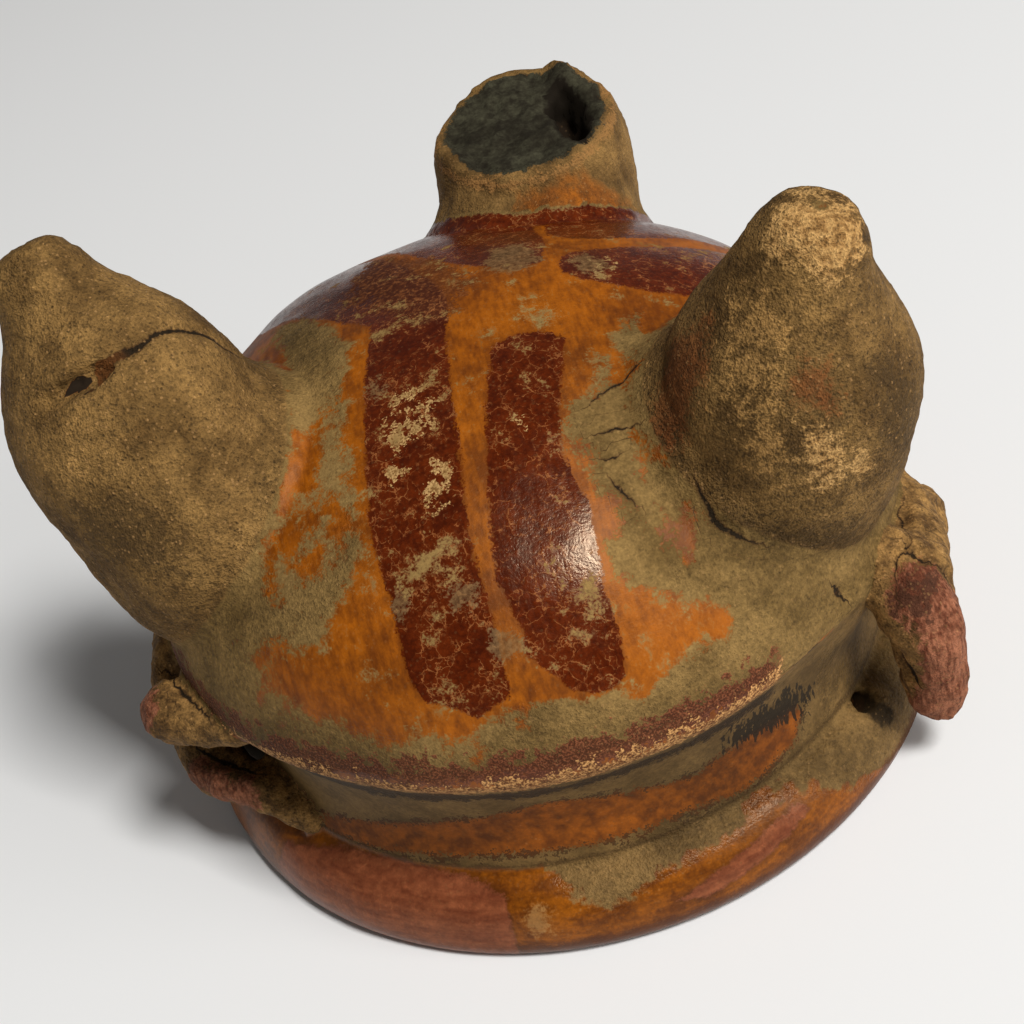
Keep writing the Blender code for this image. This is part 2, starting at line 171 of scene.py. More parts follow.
share = np.linspace(0, 1, OUTLINE_STEPS)
seat_edge = np.stack([RIM_RADIUS - SEAT_INSET * (1 - np.sin(share * math.pi / 2)),
                      LIP_BULGE_HEIGHT * (1 - np.cos(share * math.pi / 2))], 1)
seat_flat = np.stack([RIM_RADIUS - SEAT_INSET - SEAT_WIDTH * (1 - share), 0 * share], 1)
lip = curved_corner((RIM_RADIUS, LIP_BULGE_HEIGHT), (GROOVE_RADIUS, GROOVE_HEIGHT), LIP_FULLNESS)
waist = np.stack([GROOVE_RADIUS + (NECK_RADIUS - GROOVE_RADIUS) * eased(share),
                  GROOVE_HEIGHT + (NECK_HEIGHT - GROOVE_HEIGHT) * share], 1)
flare = np.stack([NECK_RADIUS + (RIDGE_RADIUS - NECK_RADIUS) * share ** 2,
                  NECK_HEIGHT + (RIDGE_HEIGHT - NECK_HEIGHT) * share], 1)
dome = curved_corner((RIDGE_RADIUS, RIDGE_HEIGHT), (0, DOME_TOP_HEIGHT), DOME_SIDE_FULLNESS,
                     2 * OUTLINE_STEPS, DOME_TOP_FULLNESS)
wall_outline = np.concatenate([seat_flat, seat_edge, lip, waist, flare, dome])
steps_along = np.linalg.norm(np.diff(wall_outline, axis=0), axis=1)
wall_run = np.append(0, np.cumsum(steps_along))
ridge_run = wall_run[len(wall_outline) - len(dome)]
print("outline of the wall:", round(wall_run[-1], 1), "mm long, ridge at", round(ridge_run, 1))

# %% [markdown]
# A foot's outline swells from the dome to its belly and narrows to a small rounded tip. The three
# feet differ as handmade ones do: one has lost its tip, one is cracked, and one is whole.

# %% The feet
FOOT_SIZES = dict(axis_radius=54.0, axis_height=58.1, length=57.0, belly=21.2, belly_level=11.5)
CRACKED_SIZES = dict(axis_radius=55.0, axis_height=61.5, length=64.0, belly=22.2, belly_level=12.5)
FOOT_BOTTOM_DEPTH, TIP_RADIUS, TIP_HEIGHT, TIP_FULLNESS = 17.5, 9.0, 6.4, 2.4
NECK_SOFTNESS = 7.0


def make_foot(azimuth, lean, twist, shoulder, sizes, belly_share=1.0):
    """A foot's own directions, base and outline, in mm about the bowl's axis."""
    azimuth, lean, twist = math.radians(azimuth), math.radians(lean), math.radians(twist)
    outward = np.array([math.cos(azimuth), math.sin(azimuth), 0])
    sideways = np.array([-math.sin(azimuth), math.cos(azimuth), 0])
    upright = outward * math.sin(lean) + np.array([0, 0, math.cos(lean)])
    axis = upright * math.cos(twist) + sideways * math.sin(twist)
    side = np.cross(axis, outward)
    side /= np.linalg.norm(side)
    base = outward * sizes["axis_radius"] + np.array([0, 0, sizes["axis_height"]])
    belly, belly_level = sizes["belly"] * belly_share, sizes["belly_level"]
    neck = sizes["length"] - TIP_HEIGHT
    level = np.linspace(-FOOT_BOTTOM_DEPTH, sizes["length"], 6 * OUTLINE_STEPS)
    drop = (belly_level - level) / (belly_level + FOOT_BOTTOM_DEPTH)
    below = belly * np.sqrt(np.clip(1 - drop ** 2, 0, 1))
    rise = np.clip((level - belly_level) / (neck - belly_level), 0, 1)
    above = belly + (TIP_RADIUS - belly) * eased(rise ** shoulder)
    up_tip = np.clip((level - neck) / TIP_HEIGHT, 0, 1)
    tip = TIP_RADIUS * np.sqrt(np.clip(1 - up_tip ** TIP_FULLNESS, 0, 1))
    radius = np.where(level <= belly_level, below, np.where(level <= neck, above, tip))
    near_neck = np.exp(-((level - neck) / NECK_SOFTNESS) ** 2)
    spread = np.abs(level[:, None] - level[None]) < NECK_SOFTNESS / 2
    radius = radius + (spread @ radius / spread.sum(1) - radius) * near_neck
    return dict(axis=axis, side=side, front=np.cross(side, axis), base=base,
                outline=np.stack([radius, level], 1))


feet = {"broken": make_foot(70.2, 20, 0, 2.2, FOOT_SIZES, 0.965),
        "cracked": make_foot(196.5, 9.5, -26, 2.25, CRACKED_SIZES),
        "whole": make_foot(-36.3, 15, 0, 1.9, FOOT_SIZES)}
for name, foot in feet.items():
    print(name, "foot leans to", np.round(foot["axis"], 2))

# %% [markdown]
# ## A fine even skin
# The solid is made of long flat facets. A copy of it is merged into one closed mesh and remeshed
# into small even quads, which gives every part of the surface enough points to be shaped and
# painted. The clay that fills the broken foot is a separate lump that overlaps the copy, and the
# remesh joins the two, as wet clay is joined. The other feet open only by narrow slits, so the
# remesh also closes the hollows behind them, of which nothing can be seen.


# %% Helpers for one piece at a time
def select_only(piece):
    """Selects one piece and makes it the active one."""
    bpy.ops.object.select_all(action="DESELECT")
    piece.select_set(True)
    bpy.context.view_layer.objects.active = piece


def apply_modifier(piece, kind, **settings):
    """Adds a modifier with its settings and applies it."""
    select_only(piece)
    modifier = piece.modifiers.new(kind.lower(), kind)
    for key, value in settings.items():
        setattr(modifier, key, value)
    bpy.ops.object.modifier_apply(modifier=modifier.name)


def place_points(piece, points):
    """Moves every vertex of a piece to its row of points."""
    piece.data.vertices.foreach_set("co", np.ascontiguousarray(points, np.float32).ravel())
    piece.data.update()


# %% The clay left in the broken foot
# The top of the fill slopes up towards the foot's front, and its edge lies inside the foot's
# outline, most of all at the front. The hole's place, half sizes and turn are in the foot's own
# directions.
FILL_MIDDLE, FILL_SLOPE, FILL_BOTTOM = 34.9, 0.5, 13.0
FILL_IN_WALL, INSET_SHARE, INSET_SWING = 2.4, 0.56, 0.44
FILL_SIDES, FILL_ROUNDS = 40, 4
HOLE_SEGMENTS, HOLE_RINGS = 24, 16
HOLE_PLACE, HOLE_SIZE, HOLE_TURN = (-2.0, -9.2, 34.0), (9.4, 3.2, 14.0), 0.45


def on_foot_axis(foot, ahead, aside, level):
    """The point at a place in a foot's own directions, in metres in the row frame."""
    local = foot["base"] + foot["front"] * ahead + foot["side"] * aside + foot["axis"] * level
    return local * MM + bowl_axis


broken = feet["broken"]
foot_turned = Matrix((broken["front"], broken["side"], broken["axis"])).transposed().to_4x4()
bpy.ops.object.select_all(action="DESELECT")
bpy.ops.mesh.primitive_cylinder_add(vertices=FILL_SIDES, radius=1.0, depth=2.0)
fill = bpy.context.active_object
fill.name = "clay_fill"
fill_points = mesh_points(fill)
for point in fill_points:
    upper = point[2] > 0
    level = FILL_BOTTOM
    for _ in range(FILL_ROUNDS if upper else 1):
        inset = FILL_IN_WALL * (INSET_SHARE + INSET_SWING * point[0])
        width = np.interp(level, broken["outline"][:, 1], broken["outline"][:, 0]) - inset
        level = FILL_MIDDLE + FILL_SLOPE * width * point[0] if upper else FILL_BOTTOM
    point[:] = on_foot_axis(broken, width * point[0], width * point[1], level)
place_points(fill, fill_points)
bpy.ops.object.select_all(action="DESELECT")
bpy.ops.mesh.primitive_uv_sphere_add(segments=HOLE_SEGMENTS, ring_count=HOLE_RINGS, radius=1.0)
hole = bpy.context.active_object
hole.name = "hole_shape"
hole_shape = Matrix.Rotation(HOLE_TURN, 4, "Z") @ Matrix.Diagonal((*(MM * np.array(HOLE_SIZE)), 1))
hole.matrix_world = Matrix.Translation(on_foot_axis(broken, *HOLE_PLACE)) @ foot_turned @ hole_shape
apply_modifier(fill, "BOOLEAN", object=hole, operation="DIFFERENCE", solver="EXACT")
bpy.data.objects.remove(hole)
print("clay fill:", len(fill.data.polygons), "faces")

# %% Copy, merge and remesh
MERGE_REACH = 0.000001
SKIN_VOXEL = 0.00125

bowl = bpy.data.objects.new("painted_bowl", solid_bowl.data.copy())
bpy.context.scene.collection.objects.link(bowl)
bowl.data.materials.clear()
select_only(bowl)
bpy.ops.object.mode_set(mode="EDIT")
bpy.ops.mesh.select_all(action="SELECT")
bpy.ops.mesh.remove_doubles(threshold=MERGE_REACH)
bpy.ops.object.mode_set(mode="OBJECT")
fill.select_set(True)
bpy.ops.object.join()
apply_modifier(bowl, "REMESH", mode="VOXEL", voxel_size=SKIN_VOXEL, use_smooth_shade=True)
print("skin:", len(bowl.data.polygons), "faces")

# %% [markdown]
# ## True curves
# Remeshing keeps the flat facets of the solid. Each point that lies within a fraction of a
# millimetre of the turned outlines is moved onto them, so that the wall and the feet come out
# truly round and take an even gloss. Points farther away, such as those of the lugs, keep their
# place.


# %% Move the skin onto the outlines
ROWS_AT_ONCE = 2000
SURE_REACH, FADE_REACH, FOOT_REACH = 0.45, 1.1, 40


def nearest_on(outline, flat_points):
    """Nearest point of a finely stepped outline, its distance and its number, for each point."""
    number = np.empty(len(flat_points), int)
    for start in range(0, len(flat_points), ROWS_AT_ONCE):
        rows = flat_points[start:start + ROWS_AT_ONCE]
        gaps = ((rows[:, None] - outline[None]) ** 2).sum(2)
        number[start:start + ROWS_AT_ONCE] = gaps.argmin(1)
    found = outline[number]
    return found, np.linalg.norm(found - flat_points, axis=1), number


def about_axis(points):
    """Radius, azimuth in degrees and height, in mm about the bowl's axis."""
    local = (points - bowl_axis) / MM
    x, y, height = local.T
    return np.hypot(x, y), np.degrees(np.arctan2(y, x)), height


def about_foot(points, foot):
    """Radius, turn in degrees and level, in mm about a foot's axis."""
    local = (points - bowl_axis) / MM - foot["base"]
    level, ahead, aside = local @ foot["axis"], local @ foot["front"], local @ foot["side"]
    return np.hypot(ahead, aside), np.degrees(np.arctan2(aside, ahead)), level


def trued(points):
    """The points, with those near an outline moved onto it."""
    points = points.copy()
    radius, azimuth, height = about_axis(points)
    found, gap, _ = nearest_on(wall_outline, np.stack([radius, height], 1))
    pull = eased((FADE_REACH - gap) / (FADE_REACH - SURE_REACH))
    outward = np.stack([np.cos(np.radians(azimuth)), np.sin(np.radians(azimuth))], 1)
    points[:, :2] += outward * ((found[:, 0] - radius) * pull)[:, None] * MM
    points[:, 2] += (found[:, 1] - height) * pull * MM
    for foot in feet.values():
        radius, turn, level = about_foot(points, foot)
        near = (radius < FOOT_REACH) & (level > -FOOT_BOTTOM_DEPTH) & (gap > FADE_REACH)
        rows = np.flatnonzero(near)
        found, far, _ = nearest_on(foot["outline"], np.stack([radius[rows], level[rows]], 1))
        pull = eased((FADE_REACH - far) / (FADE_REACH - SURE_REACH))
        turn = np.radians(turn[rows])
        spoke = np.cos(turn)[:, None] * foot["front"] + np.sin(turn)[:, None] * foot["side"]
        out, up = found[:, 0] - radius[rows], found[:, 1] - level[rows]
        points[rows] += (spoke * out[:, None] + foot["axis"] * up[:, None]) * pull[:, None] * MM
    return points


raw_points = mesh_points(bowl)
skin_points = trued(raw_points)
place_points(bowl, skin_points)
print("largest move, mm:", round(np.abs(skin_points - raw_points).max() / MM, 2))

# %% [markdown]
# ## Where each point lies
# Everything that follows asks the same questions of a point. How far does it stand off the wall?
# Is it on a foot, on a lug, inside the bowl, or on the broken end? The answers are kept as numbers
# for every point, so that relief and paint can fade softly from one place to the next.

# %% Places on the bowl
skin_points = mesh_points(bowl)
radius, azimuth, height = about_axis(skin_points)
_, _, nearest = nearest_on(wall_outline, np.stack([radius, height], 1))
along = np.gradient(wall_outline, axis=0)
along /= np.linalg.norm(along, axis=1)[:, None]
reach = np.stack([radius, height], 1) - wall_outline[nearest]
off_wall = reach[:, 0] * along[nearest, 1] - reach[:, 1] * along[nearest, 0]
above_ridge = wall_run[nearest] - ridge_run

off_foot, foot_turn, foot_level = {}, {}, {}
for name, foot in feet.items():
    foot_radius, foot_turn[name], foot_level[name] = about_foot(skin_points, foot)
    found, gap, _ = nearest_on(foot["outline"][::4], np.stack([foot_radius, foot_level[name]], 1))
    within = (foot_radius < found[:, 0]) & (foot_level[name] < foot["outline"][-1, 1] - 0.5)
    off_foot[name] = np.where(within, -gap, gap)
nearest_foot = np.minimum.reduce(list(off_foot.values()))

broken_radius, broken_turn, broken_level = about_foot(skin_points, feet["broken"])
above_break = broken_level - FILL_MIDDLE - FILL_SLOPE * broken_radius * np.cos(np.radians(broken_turn))

DEEP, BREAK_DEPTH, LUG_TOP = -2.6, 12, 62
inside = (off_wall < DEEP) | ((off_wall > 0) & (nearest_foot < DEEP))
on_break = (off_foot["broken"] < -0.4) & (off_wall > 2) & (above_break > -BREAK_DEPTH)
on_foot = eased(off_wall / 3) * eased((5 - nearest_foot) / 4) * (~inside)
on_lug = eased(off_wall / 1.2) * (nearest_foot > 2.5) * (height < LUG_TOP) * (~inside)
print("points:", len(skin_points), "inside:", int(inside.sum()), "on the break:", int(on_break.sum()))

# %% [markdown]
# ## Soft joints and small relief
# Fresh clay is pressed and wiped, so no joint on it is a knife edge. Smoothing goes where wet
# fingers went: round the roots of the feet, over the lugs and inside. Then come the long waves of
# hand building, the lumps of the lugs, the gritty crust of soil and the rough broken end, each as
# a displacement with a cloud pattern of its own size.


# %% Smooth and displace
WEIGHT_STEPS = 20
joint = eased((3.5 - np.abs(nearest_foot)) / 2) * eased((7 - off_wall) / 3) * (~inside) * (off_wall > -1)
GROUPS = {"joints": np.maximum.reduce([joint, 0.6 * on_lug, 1.0 * inside]),
          "outside": (~inside) * eased(height / 6),
          "feet": on_foot * (~on_break),
          "lugs": on_lug,
          "crust": np.maximum(on_foot, 0.4 * on_lug) * (~on_break),
          "break": on_break * 1.0}
# Each relief has the grain and the depth of its clouds in mm and the number of finer octaves.
RELIEFS = {"outside": (24, 1.4, 2), "feet": (11, 0.9, 2), "lugs": (5.0, 1.9, 3),
           "crust": (2.4, 0.6, 4), "break": (3.2, 3.0, 3)}

for name, weights in GROUPS.items():
    group = bowl.vertex_groups.new(name=name)
    levels = np.round(np.clip(weights, 0, 1) * WEIGHT_STEPS)
    for level in range(1, WEIGHT_STEPS + 1):
        group.add(np.flatnonzero(levels == level).tolist(), level / WEIGHT_STEPS, "REPLACE")
apply_modifier(bowl, "SMOOTH", factor=0.5, iterations=10, vertex_group="joints")
for name, (grain, depth, octaves) in RELIEFS.items():
    clouds = bpy.data.textures.new(name + "_clouds", "CLOUDS")
    clouds.noise_scale = grain * MM
    clouds.noise_depth = octaves
    apply_modifier(bowl, "DISPLACE", texture=clouds, texture_coords="LOCAL", mid_level=0.5,
                   strength=depth * MM, vertex_group=name)

# %% [markdown]
# ## Pushes, cracks and creases
# A few places bulge or sink where fingers pressed them. Drying and age have opened cracks, and the
# modeller's tool left creases between the parts of the lugs. Each crack is a broken line on the
# surface. The mesh is pressed in along the wide ones, and the distance to every line is kept with
# its side, plus on one side and minus on the other, so that the material can draw a line far
# thinner than the mesh.


# %% Push the bulges and press the creases
FAR = 1000.0


def mesh_normals(piece):
    """The outward direction at every vertex of a piece."""
    flat = np.empty(3 * len(piece.data.vertices))
    piece.data.vertices.foreach_get("normal", flat)
    return flat.reshape(-1, 3)


def nearness(centre, reach):
    """1 at a place about the bowl's axis, fading to 0 beyond a reach in mm, for each point."""
    return np.exp(-(np.linalg.norm(local_points - np.array(centre), axis=1) / reach) ** 2)


# Each push has a place about the bowl's axis, a reach and a height, all in mm.
PUSHES = [
    ((43.5, -36, 105), 8.0, 2.0), ((-72, -25.5, 70), 9.0, -1.6), ((-32.5, 40.6, 76.7), 14.0, 1.3),
    ((-66, -15, 15), 9.0, 2.6), ((52, -43, 35), 11.0, 3.0)]
# The top of the broken end rises, sinks and rises again from left to right.
BREAK_WAVES = [
    ((20.5, 73, 90.5), 5.0, 1.3), ((26.5, 73, 93.6), 4.2, -2.8), ((33.5, 73, 91.6), 6.5, 2.4)]
local_points = (mesh_points(bowl) - bowl_axis) / MM
pushed = sum(push * nearness(centre, reach) for centre, reach, push in PUSHES)
local_points += mesh_normals(bowl) * (pushed * (~inside))[:, None]
for centre, reach, rise in BREAK_WAVES:
    local_points[:, 2] += rise * nearness(centre, reach)


def beside_line(points, normals, line):
    """Distance to a broken line in mm, below 0 on its right, and the share of the way along it."""
    line = np.array(line, float)
    lengths = np.linalg.norm(np.diff(line, axis=0), axis=1)
    starts = np.append(0, np.cumsum(lengths))
    gap = np.full(len(points), FAR)
    side, way = np.ones(len(points)), np.zeros(len(points))
    for number, (start, end) in enumerate(zip(line[:-1], line[1:])):
        edge = end - start
        share = np.clip((points - start) @ edge / (edge @ edge), 0, 1)
        away = points - start - share[:, None] * edge
        distance = np.linalg.norm(away, axis=1)
        closer = distance < gap
        gap = np.where(closer, distance, gap)
        turn = np.einsum("ij,ij->i", np.cross(edge, away), normals)
        side = np.where(closer, np.where(turn < 0, -1, 1), side)
        way = np.where(closer, (starts[number] + share * lengths[number]) / starts[-1], way)
    return gap, side, way


# Each line has its half widths from start to end, the reach of its crease and the depth, in mm.
# A line with no reach is only drawn.
CRACKS = [
    ([(28.8, -47.6, 75.2), (28.7, -49.2, 73), (29.3, -50.5, 71.1), (29.6, -51.7, 68.8),
      (31.4, -52.8, 67.1), (33.3, -53.3, 65.5), (35.9, -53.9, 63.5)], (0.1, 0.4, 0.5, 0.3, 0.1), 1.7,
      0.9),
    ([(25.2, -25.8, 84.2), (23.4, -26.9, 83.5), (20.3, -28.3, 83.2), (18, -29.4, 83),
      (16.1, -30.6, 83)], (0.2, 0.26, 0.1), 0, 0),
    ([(22.3, -36.8, 80.7), (20.3, -36.4, 80.5), (17.9, -36.2, 80.6), (15.8, -36.6, 80.7)],
      (0.1, 0.3, 0.1), 0, 0),
    ([(18.7, -40.3, 78.7), (16.8, -41, 78.6), (14.9, -40.9, 79.1)], (0, 0.3, 0), 0, 0),
    ([(15.5, -43.8, 77.5), (16.3, -45.5, 76.4), (17.1, -46.7, 75.6), (18.2, -48.1, 74.4)],
      (0, 0.35, 0.1), 0, 0),
    ([(-61.5, -16.5, 104.3), (-58.5, -14.8, 105.3), (-55.5, -13.8, 105.9), (-52.5, -12.6, 105.7),
      (-50.8, -11, 105.6)], (1.0, 1.3, 1.0, 0.7, 0.4), 2.4, 1.6),
    ([(-50.8, -11, 105.6), (-49.2, -9.2, 105.3), (-47.1, -7.6, 104), (-44.8, -6.1, 102.1),
      (-43.3, -4.8, 100.1), (-41.6, -4.7, 97.4), (-39.9, -3.2, 93.8)], (0.4, 0.45, 0.35, 0.2), 1.7, 0.8),
    ([(36, -61.9, 42.7), (38, -60.1, 41.6), (40.6, -58.7, 42.2), (42.3, -57.4, 41.9)], (0, 0.3, 0.1), 0,
      0),
    ([(-72.6, -17.4, 40.3), (-68.1, -28.3, 44.6), (-65.5, -32.5, 43.9), (-63.8, -35.4, 43.6)],
      (0.2, 0.35, 0.2), 2.2, 1.2),
    ([(-71.6, -25.6, 27.2), (-67.8, -29, 26.8), (-64.2, -31, 26.1), (-60.7, -33.7, 25.4)],
      (0.2, 0.7, 0.3), 2.2, 1.5),
    ([(57.6, -51, 40.6), (59.4, -46.3, 45.9), (62, -45.3, 46), (64.3, -47.1, 43.9), (67.5, -47.1, 39.2),
      (68.4, -48.9, 36.6)], (0.1, 0.25, 0.1), 1.9, 1.3),
    ([(66.8, -28, 41.8), (64.6, -33, 42.6), (63.3, -40.1, 45.3), (63.4, -44.8, 45.7)], (0, 0.25, 0),
      2.2, 1.2),
    ([(56.4, -50, 30.5), (57.3, -51.8, 25.5), (58.1, -54.1, 22.3)], (0.3, 1.0, 0.4), 2.4, 1.8),
    ([(47.2, -53, 49), (47.9, -52.5, 47), (48.4, -52.2, 45)], (0.3, 0.9, 0.3), 2.2, 1.4)]
LINE_REACH, LINE_FADE = 3.0, 2.6

normals = mesh_normals(bowl)
closest = np.full(len(local_points), LINE_REACH)
crack_side = closest.copy()
crack_width, pressed = np.zeros((2, len(local_points)))
for line, widths, reach, depth in CRACKS:
    gap, side, way = beside_line(local_points, normals, line)
    width = np.interp(way, np.linspace(0, 1, len(widths)), widths)
    closer = gap < closest
    closest = np.where(closer, gap, closest)
    crack_side = np.where(closer, gap * side, crack_side)
    crack_width = np.where(closer, width * eased(LINE_FADE - gap), crack_width)
    if reach:
        pressed = np.maximum(pressed, depth * width / max(widths) * np.clip(1 - (gap / reach) ** 2, 0, 1))
place_points(bowl, (local_points - normals * pressed[:, None]) * MM + bowl_axis)
print("deepest crease, mm:", round(pressed.max(), 2))

# %% [markdown]
# ## Outlines of the painted zones
# The painter framed each foot with a dark red band shaped like a U, and two such bands run side by
# side between the feet. A band is kept as an outline on a flat chart of the dome: the middle of
# the chart is the top, and the distance from it is the angle down the dome, in degrees. Zones on
# the neck and lip use azimuth and height instead, and zones on a foot the turn about its axis and
# the level along it. For every point of the skin the distance to the outline is stored, above zero
# inside it. The material later wanders round that zero line with noise, so the edges come out
# crisp and worn however coarse the mesh is.

# %% Charts
DEGREE_MM, FOOT_DEGREE_MM = 1.2, 0.33
FADE = 7.0
dome_angle = np.degrees(np.arctan2(radius / RIDGE_RADIUS,
                                   (height - RIDGE_HEIGHT) / (DOME_TOP_HEIGHT - RIDGE_HEIGHT)))
wrapped = np.where(azimuth > 90, azimuth - 360, azimuth)
charts = {"dome": np.stack([dome_angle * np.cos(np.radians(azimuth)),
                            dome_angle * np.sin(np.radians(azimuth))], 1) * DEGREE_MM,
          "wall": np.stack([wrapped * DEGREE_MM, height], 1)}
chart_scale = {"dome": np.array([DEGREE_MM, DEGREE_MM]), "wall": np.array([DEGREE_MM, 1.0])}
for name in feet:
    charts[name] = np.stack([foot_turn[name] * FOOT_DEGREE_MM, foot_level[name]], 1)
    chart_scale[name] = np.array([FOOT_DEGREE_MM, 1.0])


def depth_inside(places, corners):
    """Distance of each place inside an outline, in mm, below 0 outside it."""
    nearest_edge = np.full(len(places), FAR)
    within = np.zeros(len(places), bool)
    for start, end in zip(corners, np.roll(corners, -1, 0)):
        edge = end - start
        share = np.clip((places - start) @ edge / (edge @ edge), 0, 1)
        away = places - start - share[:, None] * edge
        nearest_edge = np.minimum(nearest_edge, np.linalg.norm(away, axis=1))
        if edge[1]:
            crosses = (start[1] > places[:, 1]) != (end[1] > places[:, 1])
            within ^= crosses & (places[:, 0] < start[0] + (places[:, 1] - start[1]) * edge[0] / edge[1])
    return np.where(within, nearest_edge, -nearest_edge)


def zone(chart, *outlines):
    """Distance of each point inside the nearest of several outlines on a chart."""
    scale = chart_scale[chart]
    return np.maximum.reduce([depth_inside(charts[chart], np.array(outline, float) * scale)
                              for outline in outlines])


def balls(centres, size):
    """Distance inside the nearest of several balls, in mm about the bowl's axis."""
    gaps = [np.linalg.norm(local_points - np.array(centre, float), axis=1) for centre in centres]
    return size - np.minimum.reduce(gaps)


def keep_values(name, values):
    """Stores one number for each point as an attribute of the skin."""
    layer = bowl.data.attributes.new(name, "FLOAT", "POINT")
    layer.data.foreach_set("value", values.astype(np.float32))


def keep_field(name, *distances, only=True):
    """Stores the largest of several distances, and for points of one kind only where asked."""
    field = np.clip(np.maximum.reduce(list(distances)), -FADE, FADE)
    keep_values(name, np.where(only, field, -FADE))


on_wall = (off_wall < 3.0) & (~inside)
on_dome = on_wall & (above_ridge > 0)
is_whole_foot = (off_foot["whole"] < 4) & (off_wall > 1)
is_cracked_foot = (off_foot["cracked"] < 4) & (off_wall > 1)
is_broken_foot = (off_foot["broken"] < 3) & (off_wall > 0.5)

# %% Red bands
RED_BANDS = [
    [(-36.5, 29.5), (-28.5, 22), (-20, 10.5), (-13.5, 2.5), (-16, -9), (-18.5, -22), (-21, -35.5),
     (-22, -50), (-24, -61), (-23.5, -65), (-20, -67.5), (-16, -71.5), (-9, -69), (-7.7, -55),
     (-7.5, -43.5), (-5.3, -26.5), (-3.5, -8.5), (-2, 1.5), (-3, 8), (-11, 27.5), (-17.5, 40.5),
     (-25, 56), (-28, 66), (-36, 70), (-44, 64), (-43, 50)],
    [(-0.5, -22), (2.5, -11), (6, -10), (9.5, -10.5), (12.5, -13), (9.7, -24), (8, -33), (10, -42.5),
     (9.5, -55), (10.5, -67.5), (10, -71.5), (8, -73.5), (3.5, -73), (0, -71), (-1, -68), (-5, -63),
     (-4, -60), (-5.5, -50), (-3.5, -38)],
    [(-10, 43), (-3, 38.5), (4, 31), (9.6, 28), (13.5, 26), (14.5, 15.5), (12.5, 7), (8.5, 5.5),
     (5, 8.5), (0.5, 13), (-4, 20), (-9, 29.5), (-14.5, 41), (-20, 56), (-24, 68), (-16, 73), (-8, 71),
     (-8, 56)],
    [(16, 25.5), (25.5, 28), (38, 32), (54, 36), (66, 36), (70, 29), (68, 22), (55, 21.5), (42, 19),
     (33.5, 17), (23, 15), (18.5, 16), (15.5, 19)],
    [(15, 5.5), (16.5, 9), (20.5, 10), (32.5, 12), (42, 14), (55, 16.5), (68, 17), (72, 10), (70, 3),
     (55, 1), (42, -1), (33, -4.5), (27.5, -4), (20, -1), (15, 2.5)]]
RED_AT_BROKEN_FOOT = [
    (-17, 45), (-9, 37), (0, 31), (8, 26.5), (17, 25), (28, 25.5), (40, 27), (56, 31), (60, 50),
    (20, 70), (-12, 62)]
keep_field("red_band", zone("dome", *RED_BANDS, RED_AT_BROKEN_FOOT), only=on_dome)

# %% [markdown]
# ## Soil, wear and the other colours
# Grey-brown soil still clings round the roots of the feet, above the ridge and in the groove under
# the lip. Where the bowl was handled the slip has flaked to the tan clay. The lip has rubbed pink
# panels between orange ones, and one narrow pink strip on its roll is rubbed slip and also a painted
# highlight. A wide orange band goes round the waist. On the sides that the camera does not see the
# same scheme goes on, only plainer.

# %% Soil
SOIL_ZONES = [
    [(-28, 1.5), (-32, 23), (-26, 18), (-20, 8.5), (-18, 1), (-23, -37), (-27, -42.5), (-36, -48),
     (-40, -48), (-47, -44), (-52, -44.5), (-62, -34)],
    [(23, -18.5), (26, -6.5), (21, -10), (19, -14.5), (20, -31), (18, -41.5), (24, -50), (24, -53),
     (19, -53), (19, -58.5), (25, -60.5), (29, -64), (29, -69), (26, -74), (56, -70), (68, -54.5),
     (44, -56), (25, -44.5), (21, -31.5)],
    [(-56, -48.5), (-50, -47.5), (-49, -55.5), (-26, -72), (-18, -75), (-9, -70.5), (12, -77),
     (24, -68), (47, -71.5), (41, -79), (25, -84), (-3, -87), (-26, -83), (-39, -78.5), (-60, -66)]]
SOIL_ON_LIP = [
    (-101, 14.5), (-98, 11.5), (-93, 8), (-88, 9.5), (-84, 11), (-76, 12), (-66, 13), (-60, 11),
    (-54, 6), (-46, 3), (-34, 0), (-18, 0), (-18, 20), (-54, 18), (-84, 17.5), (-101, 16)]
ORANGE_PATCHES = [
    [(-31.6, -18.6), (-29.4, -14.5), (-27.1, -11.3), (-23.9, -10.6), (-22.7, -14.6), (-24.5, -19.6),
     (-24.7, -24.3), (-29.7, -29), (-34.3, -33.9), (-37.9, -37.6), (-37.8, -32), (-33.3, -23)],
    [(-20.2, -15.1), (-23.2, -21.4), (-25.6, -27.6), (-29.3, -32.9), (-33.2, -36.4), (-29.9, -36.3),
     (-25, -31.6), (-21.4, -24.3)],
    [(-50, -45.7), (-40.1, -48), (-36.5, -56), (-27.1, -61), (-17, -62), (-13, -72), (-19, -76),
     (-27.4, -72.6), (-38, -64.3), (-47.8, -56), (-53, -50)]]
# Soil lies along the ridge right of one azimuth and, in a wider strip, left of another.
RIDGE_SOIL_RIGHT, RIDGE_SOIL_LEFT, LIP_TOP = -62, -128, 15

at_roots = np.where(off_foot["broken"] < 9, 1.6, 5.0) - np.abs(nearest_foot)
at_ridge = np.where(wrapped > RIDGE_SOIL_RIGHT, 7.0 - np.abs(above_ridge - 4.5), -FADE)
at_ridge = np.where(wrapped < RIDGE_SOIL_LEFT, 13.0 - np.abs(above_ridge - 10), at_ridge)
soil_above = np.maximum.reduce([zone("dome", *SOIL_ZONES), at_roots * (off_wall < 20), at_ridge])
soil_above = np.minimum(soil_above, -0.32 * zone("dome", *ORANGE_PATCHES))
on_neck = np.where(wrapped > -50, 4.0, 2.5 - np.abs(above_ridge + 7.5))
on_neck = np.where(height > LIP_TOP, on_neck, -FADE)
soil_below = np.maximum(on_neck, zone("wall", SOIL_ON_LIP))
soil = np.where(above_ridge > 0, soil_above, soil_below)
keep_field("soil", soil, 8 * on_foot - 2, 8 * on_lug - 2, only=~inside)

